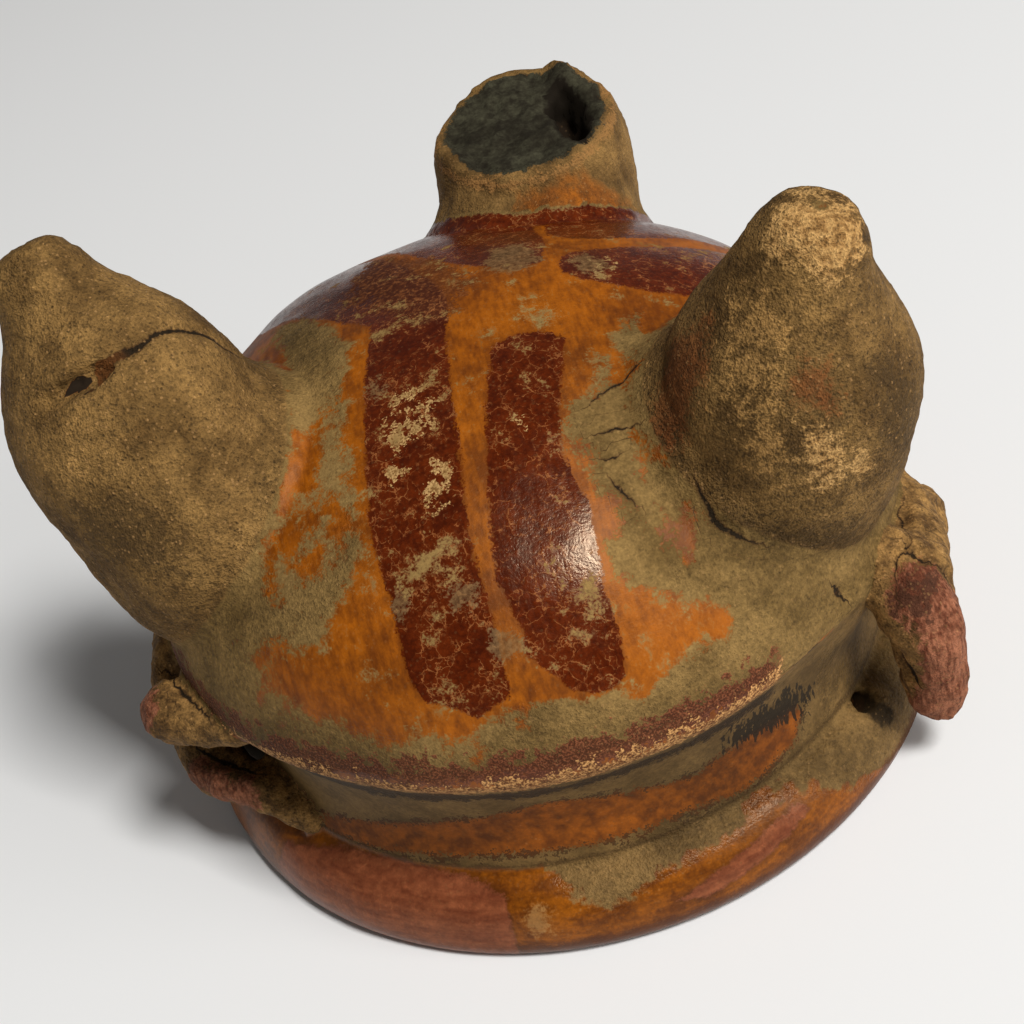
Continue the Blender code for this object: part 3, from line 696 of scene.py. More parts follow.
# %% Waist, lip and small marks
ORANGE_BANDS = [
    [(-141, 19), (-123, 24.5), (-105, 29), (-98, 32), (-76, 25), (-65, 27.5), (-56, 25.5), (-53, 22),
     (-57, 18), (-68, 16), (-76, 17.5), (-107, 18), (-139, 15)],
    [(-265, 19), (-240, 27), (-215, 25), (-190, 22), (-172, 24), (-160, 20), (-165, 16), (-200, 15),
     (-240, 16)],
    [(-20, 18), (10, 27), (40, 25), (80, 22), (80, 17), (40, 15), (0, 16)]]
# The second outline is a narrow strip on the roll of the lip: rubbed pink slip and also a painted
# highlight.
PINK_PANELS_AND_HIGHLIGHT = [
    [(-146, 11.5), (-136.6, 13.9), (-124.7, 15), (-117.8, 14.6), (-111.2, 13.8), (-107.2, 12.6),
     (-106.6, 8.3), (-106.4, 0.2), (-130, 0.2), (-148, 3)],
    [(-84, 7), (-78, 8.8), (-70, 10.6), (-63, 11.5), (-61, 9.5), (-70, 7), (-80, 5.2)],
    [(-250, 12.5), (-225, 13.5), (-205, 12), (-205, 0.5), (-250, 0.5)],
    [(20, 13), (55, 13.5), (60, 0.5), (25, 0.5)]]
BLACK_FRINGE = [
    (-69, 31.5), (-63, 32), (-57, 30), (-52.5, 26), (-52.5, 22.5), (-58.2, 23.5), (-64.3, 25), (-69, 28)]
CREAM_PATCH = [(-105.3, 9.8), (-103, 11.1), (-101.3, 10), (-102.1, 6.7), (-104.4, 6.3)]
RIDGE_SOIL = [(-61, 30), (-61, 60), (-8, 60), (-8, 30)]
RIDGE_GRIT = [(-190, 30), (-190, 70), (-124, 70), (-124, 30)]
TAN_FLAKES = [
    [(-16, -22), (-15, -17), (-10.5, -13), (-6, -17), (-6.5, -22.5), (-10.4, -25), (-14, -24.5)],
    [(-16.5, -30), (-16.5, -26.5), (-13.5, -24.5), (-12, -27), (-14.2, -31)],
    [(-12.8, -34.5), (-11.5, -29.5), (-9.5, -27), (-7, -29), (-6.5, -36), (-9.7, -39), (-12.5, -37.5)],
    [(2.5, -27), (3.5, -25), (5, -25.5), (4.8, -28), (3, -28.8)]]
LENS_CHIP = [(21.7, 7.9), (19.7, 6.7), (19.7, 2.9), (20.3, 1.1), (23, 3.9)]
WORN_RED = [(-20, 16), (-13, 34), (-2, 20), (3.6, 9), (1.5, 0), (-3, -7), (-8, -4), (-13, 4)]
GREY_PATCHES = [
    [(-22, -47), (-19.7, -44.5), (-18.5, -47.7), (-19.6, -51), (-22, -51.5)],
    [(-14.4, -50.2), (-11.4, -48), (-8, -50), (-9.3, -53), (-12.9, -52.8)],
    [(-10.5, -60.5), (-8.4, -57), (-3.8, -59.4), (-4.9, -63.5), (-8.8, -63)],
    [(3.6, 8.6), (6.2, 17), (12, 16), (13.3, 7.8), (9.8, 4.9), (6.2, 5.4)],
    [(-17, -11), (-14.5, -9), (-13, -12), (-15, -14)],
    [(20, 9.5), (16.5, 7), (17, 2.5), (20.3, 0.5), (23.5, 3)]]
MOTTLED = [
    (19, -15.5), (16, -16.5), (14, -23.5), (10, -24.5), (8, -29), (11, -45), (10, -51.5), (12, -57),
    (18, -60.5), (25, -60.5), (25, -52), (21, -47), (20, -38.5), (20, -31)]
OFF_RIDGE = 60.0

for name, chart, outlines, only in (
        ("orange_band", "wall", ORANGE_BANDS, on_wall), ("pink_panel_and_highlight", "wall", PINK_PANELS_AND_HIGHLIGHT, on_wall),
        ("black_fringe", "wall", [BLACK_FRINGE], on_wall), ("cream_patch", "wall", [CREAM_PATCH], on_wall),
        ("ridge_grit", "wall", [RIDGE_GRIT], on_wall), ("worn_red", "dome", [WORN_RED], on_dome),
        ("grey_patch", "dome", GREY_PATCHES, on_dome), ("mottled", "dome", [MOTTLED], on_dome)):
    keep_field(name, zone(chart, *outlines), only=only)
keep_field("ridge_wear", -zone("wall", RIDGE_SOIL), only=on_wall)
keep_field("tan_flake", zone("dome", *TAN_FLAKES), zone("dome", LENS_CHIP) + 1.5,
           np.minimum(zone("dome", WORN_RED), -0.8), only=on_dome)
keep_values("above_ridge", np.where(off_wall < 1.0, above_ridge, OFF_RIDGE))

# %% Blotches, caps and stains of the feet
TIP_CAP = [
    (-180, 57.5), (-145, 56.4), (-118, 51), (-86, 52), (-64, 50), (-34, 50.4), (-4, 52.2), (6, 55.2),
    (75, 56.5), (180, 57.5), (180, 80), (-180, 80)]
TAN_ON_FOOT = [
    [(-68, 30.6), (-58, 30.6), (-47, 25.8), (-49, 18.9), (-58, 18.5), (-65, 24.6)],
    [(-42, 25.3), (-32, 22.3), (-34, 18.4), (-43, 20.5)]]
PALE_ON_FOOT = [
    (-140, 44), (-107, 49), (-80, 46), (-72, 36), (-66, 27), (-70, 18), (-84, 18), (-98, 26), (-128, 34)]
DARK_ON_FOOT = [
    [(-35, 38.5), (-8, 38.4), (6, 28.9), (0, 18.2), (-18, 16.7), (-34, 26.2)],
    [(-96, 13.7), (-79, 11.4), (-53, 11.3), (-28, 12.4), (0, -6), (-48, -1.5), (-79, 5)]]
# These rusty zones lie on the side of the whole foot towards the dome, and they are rust and also painted
# shadow.
RUST_AND_SHADOW_ON_FOOT = [
    [(-137, 15), (-150, 24.7), (-158, 31), (-140, 40), (-118, 34), (-118, 18)],
    [(-73, 40.1), (-55, 39.4), (-47, 33.9), (-50, 31.3), (-62, 32.1), (-77, 33.9), (-77, 37.4)]]
PALE_ON_CRACKED = [(45, 30.2), (55, 30.2), (66, 26.7), (80, 18), (80, 14.5), (70, 18.9), (56, 25.8)]
DARK_ON_CRACKED = [(35, 25.8), (65, 24.9), (81, 19.3), (83, 8.7), (64, 2.1), (47, 7.8), (26, 14.3)]
BROKEN_FOOT_STAIN = [
    (-178, 19), (-160, 23), (-140, 22.5), (-122, 18), (-112, 13), (-130, 9), (-156, 10), (-175, 13)]

for name, on_whole, on_cracked in (
        ("bare_clay", zone("whole", TIP_CAP, *TAN_ON_FOOT), -FADE),
        ("rust_and_shadow", zone("whole", *RUST_AND_SHADOW_ON_FOOT), -FADE),
        ("foot_pale", zone("whole", PALE_ON_FOOT) - 1, zone("cracked", PALE_ON_CRACKED)),
        ("foot_dark", zone("whole", *DARK_ON_FOOT), zone("cracked", DARK_ON_CRACKED))):
    keep_field(name, np.where(is_whole_foot, on_whole, -FADE), np.where(is_cracked_foot, on_cracked, -FADE))
keep_field("broken_wall", 4 - off_foot["broken"], only=off_wall > 1)
keep_field("orange_stain", zone("broken", BROKEN_FOOT_STAIN), only=is_broken_foot)

# %% Lugs, broken end, cracks, grime and painted shade
PINK_LUG_PLACES = [
    (62, -51, 40), (64, -52, 36), (65, -54, 30), (65, -55, 24), (64, -55.5, 18), (62, -55.5, 14)]
PINK_KNOB_PLACES = [(-75, -28, 42), (-72, -30, 24), (-68, -33, 23), (-64, -36, 22.5)]
# In a crease at the top of the right lug its pink is painted darker as shade.
SHADED_LUG_PLACES = [(58.5, -51, 40), (60.5, -51, 42), (61, -52.5, 39.5), (63.5, -50.5, 41.5)]
# Behind the left knob and in the pierced hole the clay is painted nearly black as shade.
SHADE_BEHIND_KNOB = [(-65, -15.6, 14), (-63, -20, 16), (-61.2, -24, 18.6)]
SHADE_IN_PIERCED_HOLE = [(51.7, -47.7, 11.4), (50.7, -44.6, 10.2), (53.7, -48.7, 10)]
# Each place of grime and painted shade has a middle, a reach in mm and a share of the light that it
# swallows. Where the share is below 0 the place is paler than the rest.
GRIME_AND_SHADE = [
    ((-39, -56, 34), 16, 0.34), ((-56, -36, 34), 14, 0.34), ((42, -30, 66), 9, 0.3),
    ((47, -40, 75), 14, 0.24), ((-70, -26, 28), 14, 0.25), ((58, -35, 58), 12, 0.2),
    ((37, -52, 66), 9, 0.3), ((-45, -38, 62), 14, 0.1), ((35, -45, 30), 16, 0.2),
    ((-66, -10, 78), 20, -0.14), ((20, -62, 22), 12, 0.38), ((-30, 22, 84), 16, 0.38),
    ((-48, -6, 70), 13, 0.28), ((8, -66, 34), 14, 0.14)]

# The hollow of the feet marks where the notches of the slits are painted dark as shade.
for name, cover in (("foot_cover", on_foot), ("lug_cover", on_lug), ("inside_cover", inside),
                    ("foot_hollow_shade", inside & (off_wall > 0))):
    keep_field(name, FADE * (2 * cover - 1))
keep_field("pink_lug", balls(PINK_LUG_PLACES, 6.0), balls(PINK_KNOB_PLACES, 4.0), only=on_lug > 0.1)
keep_field("lug_painted_shade", balls(SHADED_LUG_PLACES, 2.2), only=on_lug > 0.1)
keep_field("painted_shade", balls(SHADE_BEHIND_KNOB, 6.5), balls(SHADE_IN_PIERCED_HOLE, 3.2))
keep_field("break_cover", np.minimum(-off_foot["broken"] - 1.1, 7 + above_break), only=on_break)
keep_field("break_rim", 1.0 - np.abs(above_break + 1.2), only=(off_foot["broken"] < 2) & (off_wall > 2))
# Deep in the hole of the broken foot, and over the hole's shape, the clay is painted black as shade.
keep_field("hole_depth", -above_break - 2.2, only=on_break)
from_hole = broken_radius * np.exp(1j * np.radians(broken_turn)) - complex(*HOLE_PLACE[:2])
from_hole *= np.exp(-1j * HOLE_TURN)
hole_share = np.hypot(from_hole.real / HOLE_SIZE[0], from_hole.imag / HOLE_SIZE[1])
keep_field("hole", HOLE_SIZE[1] * (1 - hole_share), only=on_break)
keep_field("crack_side", crack_side)
keep_field("crack_width", crack_width)
keep_values("grime_and_shade", sum(share * nearness(centre, reach) for centre, reach, share in GRIME_AND_SHADE))
print("fields kept:", len(bowl.data.attributes))

# %% [markdown]
# ## The clay and its layers
# The finish is built as the real one was: bare tan clay, then orange slip brushed over it, red slip
# burnished to a gloss, pink panels rubbed on the lip, and soil on top of everything. Each layer has
# its own colour and roughness, and a mask made from one stored field and some noise. A value that
# changes over the surface is a `Level`, which is added and multiplied like any other number, so
# that a layer reads like a recipe.


# %% Helpers for the material
clay = bpy.data.materials.new("painted_clay")
clay.use_nodes = True
nodes, links = clay.node_tree.nodes, clay.node_tree.links
nodes.clear()


def add_node(kind, inputs, **settings):
    """Adds a node with its settings and gives its inputs their links or constants."""
    node = nodes.new("ShaderNode" + kind)
    for key, value in settings.items():
        setattr(node, key, value)
    for key, value in inputs.items():
        value = getattr(value, "output", value)
        if isinstance(value, bpy.types.NodeSocket):
            links.new(value, node.inputs[key])
        else:
            node.inputs[key].default_value = value
    return node


def maths(operation, *values):
    """One sum of one to three values."""
    return Level(add_node("Math", dict(enumerate(values)), operation=operation).outputs[0])


class Level:
    """A value that changes over the surface, kept as the output of a node."""

    def __init__(self, output):
        self.output = output

    def __add__(self, other):
        return maths("ADD", self, other)

    def __sub__(self, other):
        return maths("SUBTRACT", self, other)

    def __rsub__(self, other):
        return maths("SUBTRACT", other, self)

    def __mul__(self, other):
        return maths("MULTIPLY", self, other)

    def __abs__(self):
        return maths("ABSOLUTE", self)

    def plus(self, *parts):
        """This level and several others, each of them followed by its share."""
        total = self
        for level, share in zip(parts[::2], parts[1::2]):
            total = maths("MULTIPLY_ADD", level, share, total)
        return total


def mixed(first, share=1.0, *parts):
    """The sum of several levels, each followed by its share."""
    return (first if share == 1.0 else first * share).plus(*parts)


def most(first, *others):
    """The largest of several levels."""
    for other in others:
        first = maths("MAXIMUM", first, other)
    return first


def without(mask, share=1.0):
    """1 where a mask is 0, less a share of the mask elsewhere."""
    return maths("MULTIPLY_ADD", mask, -share, 1.0)


def step(level, low, high):
    """0 below low, 1 above high and a soft step between."""
    node = add_node("MapRange", {0: level, 1: low, 2: high}, interpolation_type="SMOOTHSTEP")
    return Level(node.outputs[0])


def wear(below, above, mask):
    """A number in place of another one where the mask is 1."""
    return Level(add_node("Mix", {0: mask, 2: below, 3: above}).outputs[0])


DISPLAY_TOP, DARK_END, DARK_SLOPE, BRIGHT_LIFT, BRIGHT_POWER = 255, 0.04045, 12.92, 0.055, 2.4


def linear(part):
    """A display value as the linear value that a shader takes."""
    part = part / DISPLAY_TOP
    if part <= DARK_END:
        return part / DARK_SLOPE
    return ((part + BRIGHT_LIFT) / (1 + BRIGHT_LIFT)) ** BRIGHT_POWER


def colour(value):
    """A display colour from 0 to 255 as the colour that a shader takes, and a level as it is."""
    return value if isinstance(value, Level) else tuple(linear(part) for part in value) + (1,)


def paint(below, above, mask, share=1.0):
    """A colour laid over another one where the mask is 1, or a share of it."""
    mask = mask if share == 1.0 else mask * share
    node = add_node("Mix", {0: mask, 6: colour(below), 7: colour(above)}, data_type="RGBA")
    return Level(node.outputs[2])


def two_tones(pair, low, high, *parts):
    """A dark tone that turns pale where a mix of levels rises from low to high."""
    return paint(*pair, step(mixed(*parts), low, high))


def painted(surface, *coats):
    """A colour under several coats, each with a colour, a mask and, where it is thin, a share."""
    for coat in coats:
        surface = paint(surface, *coat)
    return surface


def field(name):
    """A field that was stored on the skin, in mm."""
    return Level(add_node("Attribute", {}, attribute_name=name).outputs["Fac"])


def edge(name, low, high, *parts):
    """0 outside a stored zone and 1 inside it, along an edge that other levels make ragged."""
    return step(field(name).plus(*parts), low, high)


# %% [markdown]
# ## Shared noise
# A few noises of different grain serve every layer: broad clouds for where soil thins out, middle
# ones for the wandering of an edge, and fine ones for grains and pores. Three more are stretched
# into strokes, for the wiped lip, the fibrous marks and the brush. A web of cells gives the fine
# net of cracks in the red, and a second set of cells is the sand in the clay, pale and dark.

# %% Noises
NOISE_ROUGHNESS, NOISE_SPAN = 0.6, 7.0
WEB_SIZE, WEB_THIN, WEB_WIDE = 2.6, 0.008, 0.046
SAND_SIZE, SAND_SEEN, SAND_SHARE = 0.6, (-0.5, -0.3), (0.8, 0.9)
place = Level(nodes.new("ShaderNodeTexCoord").outputs["Object"])


def noise(grain, detail, stretch=None):
    """Cloudy noise with a grain in mm, about 0 on average and mostly between -1 and 1."""
    where = place
    if stretch:
        where = Level(add_node("Mapping", {"Vector": place, "Scale": stretch}).outputs[0])
    inputs = {"Vector": where, "Scale": 1 / (grain * MM), "Detail": detail, "Roughness": NOISE_ROUGHNESS}
    cloudy = Level(add_node("TexNoise", inputs).outputs[0])
    return maths("MULTIPLY_ADD", cloudy, NOISE_SPAN, -NOISE_SPAN / 2)


def cells(size, feature, where):
    """Cells with a size in mm."""
    return add_node("TexVoronoi", {"Vector": where, "Scale": 1 / (size * MM)}, feature=feature)


broad = noise(15, 1)
patches = noise(6.0, 3)
middle = noise(2.4, 2)
fine = noise(0.9, 2)
grains = noise(0.38, 1)
strokes = noise(1.7, 2, (0.3, 0.3, 1.5))
striae = noise(1.1, 1, (1.4, 1.4, 0.3))
brushed = noise(1.5, 2, (1.3, 0.35, 0.5))
grit = mixed(middle, 0.4, fine, 0.35, grains, 0.35)

drift = add_node("CombineXYZ", {0: fine * (0.3 * MM), 1: middle * (0.5 * MM), 2: fine * (-0.3 * MM)})
drifted = add_node("VectorMath", {0: place, 1: drift.outputs[0]})
web_gap = cells(WEB_SIZE, "DISTANCE_TO_EDGE", drifted.outputs[0]).outputs["Distance"]
web = without(step(web_gap, WEB_THIN, WEB_WIDE))
sand = cells(SAND_SIZE, "F1", place)
sand_tone = add_node("SeparateColor", {0: sand.outputs["Color"]})
sand_near = step(Level(sand.outputs["Distance"]) * -1.0, *SAND_SEEN)
pale_sand = sand_near * step(sand_tone.outputs[0], *SAND_SHARE)
dark_sand = sand_near * step(sand_tone.outputs[1], *SAND_SHARE)

# %% [markdown]
# ## Palette and gloss
# The colours are display colours from 0 to 255. A pair is the dark and the pale tone of one clay
# or slip. The burnished red is the glossiest and the dusty soil the dullest.

# %% Palette and gloss
CREAM_CLAY = (124, 86, 42), (196, 156, 100)
ORANGE_SLIP, SMOKE = ((108, 50, 0), (166, 88, 2)), (78, 44, 12)
RED_SLIP, PALE_DUST = ((66, 15, 0), (102, 36, 4)), (156, 96, 52)
WORN_SLIP = (68, 24, 6), (124, 72, 34)
GREY_DUST = (88, 66, 36), (130, 104, 66)
EARTH = (92, 70, 34), (140, 110, 62)
KHAKI, BLACK_GRIT = ((86, 64, 31), (130, 100, 56)), (44, 30, 14)
WAIST_ORANGE, GROOVE_SHADE = ((98, 46, 2), (150, 78, 8)), (50, 32, 12)
LIP_ORANGE, LIP_EDGE = ((94, 44, 2), (148, 80, 8)), (70, 28, 8)
PINK_SLIP, PANEL_EDGE = ((104, 48, 26), (144, 80, 48)), (58, 28, 8)
RED_GRIT = (74, 26, 12), (122, 66, 42)
RIDGE_CLAY, RIDGE_SHADE = ((100, 52, 24), (200, 150, 92)), (30, 18, 8)
FRINGE_BLACK, CREAM_CHIP = (10, 8, 5), (160, 120, 70)
FOOT_CLAY, PALE_BLOTCH, DARK_BLOTCH = ((84, 60, 28), (140, 106, 58)), (164, 124, 70), (50, 35, 16)
BARE_CLAY, BARE_PORES, RUST_AND_SHADOW = ((146, 104, 54), (192, 150, 92)), (104, 78, 42), (104, 50, 18)
LUG_CLAY = (92, 64, 32), (150, 112, 62)
LUG_PINK, LUG_SHADE = ((96, 48, 30), (156, 98, 70)), (66, 36, 24)
INNER_SLIP, HOLLOW_SHADE = ((98, 54, 18), (140, 88, 40)), (24, 15, 8)
GREY_CORE, HOLE_SHADE, BREAK_EDGE = ((20, 20, 14), (62, 61, 46)), (1, 1, 1), (150, 106, 58)
CRACK_SOIL, CRACK_BANK, SHELTER_SHADE = ((16, 10, 4), (92, 52, 18)), (62, 36, 14), (18, 11, 4)
PALE_SAND, DARK_SAND = (184, 140, 88), (30, 19, 6)
ROUGHNESS = dict(red=0.24, lip=0.36, orange=0.52, waist=0.72, worn=0.75, soil=0.88)

# %% [markdown]
# ## Orange ground, red bands and their wear
# The orange slip is thin and streaky. The red is thick, dark and polished. Its net of fine cracks
# has filled with pale dust, and in places it has flaked off in ragged nets down to the cream clay.
# Towards the top, where hands held the bowl, red and orange are rubbed into each other.

# %% Slip colours
orange = paint(two_tones(ORANGE_SLIP, -1.4, 1.4, brushed, 0.5, broad, 0.6, middle, 0.3), SMOKE,
               step(mixed(patches, 0.7, brushed, 0.5, grit, 0.8), 0.6, 1.9), 0.45)
is_red = edge("red_band", -0.35, 0.35, grit, 0.5, brushed, 0.3)
worn = step(mixed(patches, 0.7, grit, 1.0, field("worn_red"), 0.35), 0.3, 1.3) * edge("worn_red", -1.0, 1.0)
cracked = web * step(mixed(patches, 0.6, middle, 0.5, fine, 0.4), -0.6, 0.6) * is_red
nets = abs(mixed(middle, 0.8, fine, 0.5))
flaked = maths("MINIMUM", field("tan_flake") * 0.4, 0.6)
flaked = step(flaked.plus(middle, 0.8, nets, -1.0, grains, 0.15, patches, 0.5), 0.35, 0.6)
greyed = step(grit.plus(field("grey_patch"), 0.6), -0.1, 0.7)
surface = painted(
    orange,
    (two_tones(RED_SLIP, -1.2, 1.4, patches, 0.6, fine, 0.4), is_red),
    (two_tones(WORN_SLIP, -0.4, 1.8, fine), worn, 0.75),
    (PALE_DUST, cracked, 0.75),
    (two_tones(CREAM_CLAY, -1.0, 1.0, grains, 0.7, fine, 0.5), flaked),
    (two_tones(GREY_DUST, -1.6, 1.6, fine), greyed, 0.6))
rough = wear(ROUGHNESS["orange"], maths("MULTIPLY_ADD", brushed, 0.04, ROUGHNESS["red"]), is_red)
rough = wear(rough, ROUGHNESS["worn"], most(flaked, greyed, worn))

# %% [markdown]
# ## Soil
# The soil is fine and grey-brown. It covers in patches whose edges break up, and a thin veil of it
# lies over the orange and, less, over the red.

# %% Soil over the slips
earth = two_tones(EARTH, -1.4, 1.4, patches, 0.5, broad, 0.5, fine, 0.25)
is_soiled = edge("soil", -0.9, 0.9, patches, 1.5, broad, 0.6, grit, 1.3)
mottle = step(mixed(patches, 0.9, grit, 0.9, field("mottled"), 0.4), 0.3, 1.1) * edge("mottled", -1.5, 1.0)
veil = step(mixed(broad, 0.5, patches, 0.5, brushed, 0.7, grit, 0.6), 0.7, 2.2) * 0.75
dirty = most(is_soiled, mottle, veil * without(is_red, 0.95))
surface = paint(surface, earth, dirty)
rough = wear(rough, ROUGHNESS["soil"], dirty)

# %% [markdown]
# ## Waist and lip
# Below the ridge runs a strip of khaki soil, then the orange band with black grit along its edges,
# then the groove, which is painted darker as shade. The lip has its pink panels, orange beside them
# and a dark edge at the very bottom, and soil lies on its top. One narrow pink strip on its roll is
# rubbed slip and also a painted highlight.

# %% Waist and lip
GROOVE_BELOW, LIP_BELOW, EDGE_BELOW = 28.5, (28.2, 29.4), (43.0, 44.6)

ridge = field("above_ridge")
below = ridge * -1.0
khaki = two_tones(KHAKI, -1.2, 1.2, patches, 0.5, broad, 0.5, fine, 0.2)
lip_soil = edge("soil", 0.2, 1.4, patches, 0.9, middle, 0.4, grit, 0.5)
# Pink panels, and on the lip's roll a pink strip that is also a painted highlight.
is_pink = edge("pink_panel_and_highlight", -0.2, 0.2, grit, 0.4)
panel_edge = step(0.35 - abs(field("pink_panel_and_highlight").plus(grit, 0.3)), -0.2, 0.2)
lip_colour = painted(
    two_tones(LIP_ORANGE, -1.2, 1.2, strokes, 0.4, patches, 0.6, fine, 0.3),
    (khaki, lip_soil),
    (two_tones(PINK_SLIP, -1.4, 1.6, strokes, 0.6, middle, 0.2, fine, 0.2), is_pink),
    (LIP_EDGE, step(below.plus(grit, 0.9), *EDGE_BELOW) * without(is_pink, 0.8), 0.8),
    (PANEL_EDGE, panel_edge, 0.3))
black_grit = (1.8 - abs(field("orange_band"))).plus(grit, 1.8, patches, 0.8)
on_lip = step(below.plus(middle, 0.3), *LIP_BELOW)
# The groove between waist and lip is painted darker as shade.
groove_painted_shade = step(0.8 - abs(below - GROOVE_BELOW) + grit, -0.2, 0.9)
band_colour = two_tones(WAIST_ORANGE, -1.2, 1.2, middle, 0.6, patches, 0.6)
waist_colour = painted(
    khaki,
    (band_colour, edge("orange_band", -0.3, 0.5, grit, 1.5)),
    (BLACK_GRIT, step(black_grit, 1.2, 2.0), 0.8),
    (lip_colour, on_lip),
    (GROOVE_SHADE, groove_painted_shade, 0.65))
is_waist = step(below, 0.2, 1.0)
surface = paint(surface, waist_colour, is_waist)
rough = wear(rough, ROUGHNESS["waist"], is_waist)
rough = wear(rough, ROUGHNESS["lip"], most(is_pink, on_lip * without(lip_soil)))

# %% [markdown]
# ## Ridge and fringe
# The ridge has been rubbed down to pale gritty clay, with dark red left in patches above it and a
# line of painted shade below it. At its right end soil covers all of this. The orange band ends
# under a black fringe of short fingers.

# %% Ridge and black fringe
RED_ABOVE, RUBBED_BELOW, SHADE_LINE_BELOW = 3.2, 1.3, 6.6

ridge_shown = edge("ridge_wear", -0.5, 2.0, grit, 1.5)
is_gritty = edge("ridge_grit", -2.0, 3.0, patches, 3.0)
wander = mixed(patches, 0.45, middle, 0.25)
red_left = wear(3.4, 5.6, is_gritty) - abs(ridge - RED_ABOVE)
red_left = step(red_left.plus(grit, 2.0, patches, 1.8, middle, 0.7, is_gritty, -2.0), -0.1, 0.9)
is_rubbed = (2.5 - abs(ridge + RUBBED_BELOW)).plus(grit, 1.5, wander, 2.0)
is_rubbed = step(is_rubbed, -0.4, 0.4) * ridge_shown * 0.9
# A line of painted shade under the ridge.
shade_line_under_ridge = wear(2.6, 4.0, is_gritty) - abs(ridge + SHADE_LINE_BELOW)
shade_line_under_ridge = step(shade_line_under_ridge.plus(grit, 1.4, wander, 1.6), -0.2, 0.8)
surface = painted(
    surface,
    (two_tones(RED_GRIT, -0.6, 1.4, grains), red_left * ridge_shown, 0.9),
    (two_tones(RIDGE_CLAY, -1.1, 1.3, grains, 0.7, fine, 0.6), is_rubbed),
    (RIDGE_SHADE, shade_line_under_ridge * ridge_shown, 0.9),
    (FRINGE_BLACK, edge("black_fringe", -0.6, 0.3, striae, 2.0, grit, 1.1), 0.92),
    (CREAM_CHIP, edge("cream_patch", -0.8, 1.8, grit, 1.5, patches, 1.0), 0.6))

# %% [markdown]
# ## Feet and lugs
# The feet were left rougher than the dome. Their khaki clay is blotched pale and dark and full of
# sand, with a bare tan cap on the whole foot's tip, and rusty stains on its side towards the dome
# that are also painted shadow. The lugs are brown, and their rubbed ends are pinkish like the panels
# of the lip, with painted shade in a crease at the top of the right lug.

# %% Feet and lugs
pale = step(mixed(patches, 0.5, middle, 0.6, grit, 1.1, field("foot_pale"), 0.3), 0.5, 1.9)
dark = step(mixed(patches, 0.7, middle, 0.7, grit, 1.7, field("foot_dark"), 0.45), 0.5, 1.5)
bare = paint(two_tones(BARE_CLAY, -1.2, 1.2, fine, 0.5, middle, 0.5, patches, 0.3), BARE_PORES,
             step(mixed(middle, 0.7, fine, 0.6), 0.7, 1.3), 0.7)
foot_colour = painted(
    two_tones(FOOT_CLAY, -1.3, 1.3, broad, 0.5, patches, 0.6),
    (PALE_BLOTCH, pale, 0.6),
    (DARK_BLOTCH, dark, 0.68),
    # Rust, and painted shadow on the side towards the dome.
    (RUST_AND_SHADOW, edge("rust_and_shadow", -0.5, 2.5, grit, 1.8), 0.65),
    (bare, edge("bare_clay", -1.0, 2.4, grit, 1.6, middle, 0.8, patches, 0.6)))
# The rubbed pink of the lugs, painted darker as shade in a crease of the right lug.
lug_pink = paint(two_tones(LUG_PINK, -1.1, 1.3, striae, 0.7, middle, 0.3, broad, 0.4), LUG_SHADE,
                 edge("lug_painted_shade", -0.3, 0.5, middle, 1.0, grit, 0.8), 0.85)
rubbed_lug = edge("pink_lug", -0.6, 0.8, grit, 0.8, middle, 0.5)
lug_colour = paint(two_tones(LUG_CLAY, -1.2, 1.2, patches, 0.6, middle, 0.6), lug_pink, rubbed_lug)
is_foot = edge("foot_cover", -1.0, 2.5, grit, 1.0)
is_lug = edge("lug_cover", -1.0, 2.5, grit, 1.0)
surface = painted(
    surface,
    (foot_colour, is_foot),
    (lug_colour, is_lug),
    (orange, edge("orange_stain", -2.5, 2.5, patches, 1.4, middle, 0.5), 0.75))

# %% [markdown]
# ## Inside, broken end and cracks
# The inside has brown slip worn by use. Where the foot broke, the core of the clay is dark grey,
# because the fire never reached it, inside a thin tan skin, and its hole is painted black as shade.
# The notches of the slits, the places behind the left knob and the pierced hole are painted dark
# as shade too. The cracks are filled with dark soil.

# %% Inside, break and cracks
is_inner = edge("inside_cover", -1.0, 1.0)
inner_colour = paint(two_tones(INNER_SLIP, -1.2, 1.2, broad, 0.6, patches, 0.6), earth,
                     step(mixed(patches, 0.7, grit, 0.7), 0.3, 1.2))
is_broken = edge("break_cover", -0.2, 0.7, grit, 0.7)
# The hole is painted black as shade.
shaded_hole = step(most(field("hole_depth"), field("hole").plus(middle, 0.5)), -1.0, -0.1)
core = paint(two_tones(GREY_CORE, -1.4, 2.0, middle, 0.6, fine, 0.3, broad, 0.5), HOLE_SHADE, shaded_hole)
crack = field("crack_width") - abs(field("crack_side").plus(fine, 0.16))
# Painted shade behind the left knob and in the pierced hole.
painted_shade = edge("painted_shade", 0.0, 1.5, middle, 0.5)
surface = painted(
    surface,
    (inner_colour, is_inner),
    # Painted shade in the deep notches of the slits of the feet.
    (HOLLOW_SHADE, edge("foot_hollow_shade", -1.0, 1.0)),
    (BREAK_EDGE, edge("break_rim", -0.2, 0.9, grit, 0.9), 0.7),
    (core, is_broken),
    (CRACK_BANK, step(crack, -0.35, 0.05), 0.7),
    (paint(*CRACK_SOIL, edge("crack_width", 0.75, 1.15)), step(crack, -0.02, 0.14), 0.95),
    (SHELTER_SHADE, painted_shade, 0.9))
is_rough = most(is_foot, is_lug * without(rubbed_lug, 0.5), is_rubbed, is_broken)
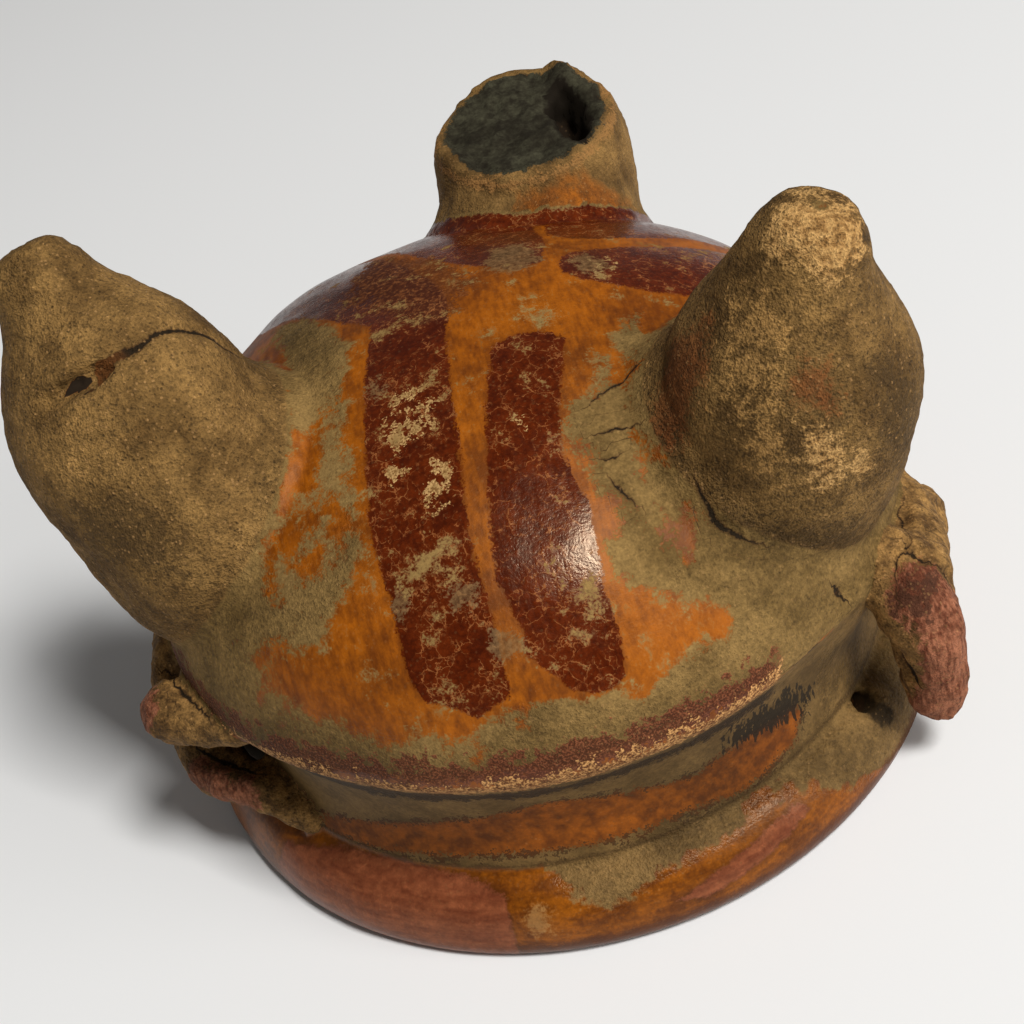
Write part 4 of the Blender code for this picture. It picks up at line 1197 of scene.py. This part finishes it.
rough = wear(rough, ROUGHNESS["soil"], most(is_rough, painted_shade, is_inner))

# %% [markdown]
# ## Sand, shade and relief
# Over every layer lies the same fine play of light and dark, strong on the rough clay and weak
# under the burnish, and the sand shows through as pale and dark dots. Grains are far smaller than
# the mesh, so their relief is left to a bump. It asks only for the fine noises and stored fields,
# because its height is worked out three times for each point.

# %% Put the clay together
SAND_ON_SLIP, SAND_ON_CLAY = 0.14, 0.8
SHADE_ON_SLIP, SHADE_ON_CLAY = 0.1, 0.34
EVEN_LIGHT, DARKEST = 0.96, 0.2
RELIEF_ON_SLIP, RELIEF_ON_CLAY = 0.008, 0.11
SHINE, SHINE_COLOUR = 0.4, (1.0, 0.76, 0.52, 1.0)

smooth_foot = edge("broken_wall", 0.0, 3.0)
coarse = most(is_rough, dirty * 0.35) * without(smooth_foot, 0.6)
sand_share = wear(SAND_ON_SLIP, SAND_ON_CLAY, coarse) - is_broken
surface = paint(surface, PALE_SAND, pale_sand * sand_share, 0.45)
surface = paint(surface, DARK_SAND, dark_sand * sand_share, 0.7)
shade = mixed(grains, 0.5, fine, 0.5, middle, 0.4) * wear(SHADE_ON_SLIP, SHADE_ON_CLAY, coarse)
# Grime and painted shade take a share of the brightness at the listed places.
brightness = maths("MAXIMUM", shade - field("grime_and_shade") + EVEN_LIGHT, DARKEST)
shaded = add_node("VectorMath", {0: surface, "Scale": brightness}, operation="SCALE")
is_clay = most(edge("soil", -1.0, 2.0) * 0.55, edge("foot_cover", -2.0, 3.0))
relief = wear(RELIEF_ON_SLIP, RELIEF_ON_CLAY, is_clay * without(smooth_foot, 0.5))
bump = add_node("Bump", {"Distance": MM, "Height": mixed(grains, 0.5, fine, 0.9) * relief})
shader = add_node("BsdfPrincipled", {"Base Color": shaded.outputs[0], "Roughness": rough,
                                     "Specular IOR Level": SHINE, "Specular Tint": SHINE_COLOUR,
                                     "Normal": bump.outputs[0]})
add_node("OutputMaterial", {"Surface": shader.outputs[0]})
bowl.data.materials.append(clay)
print("clay nodes:", len(nodes))

# %% Close the scene
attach(bowl, "root")
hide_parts("tripod_bowl")
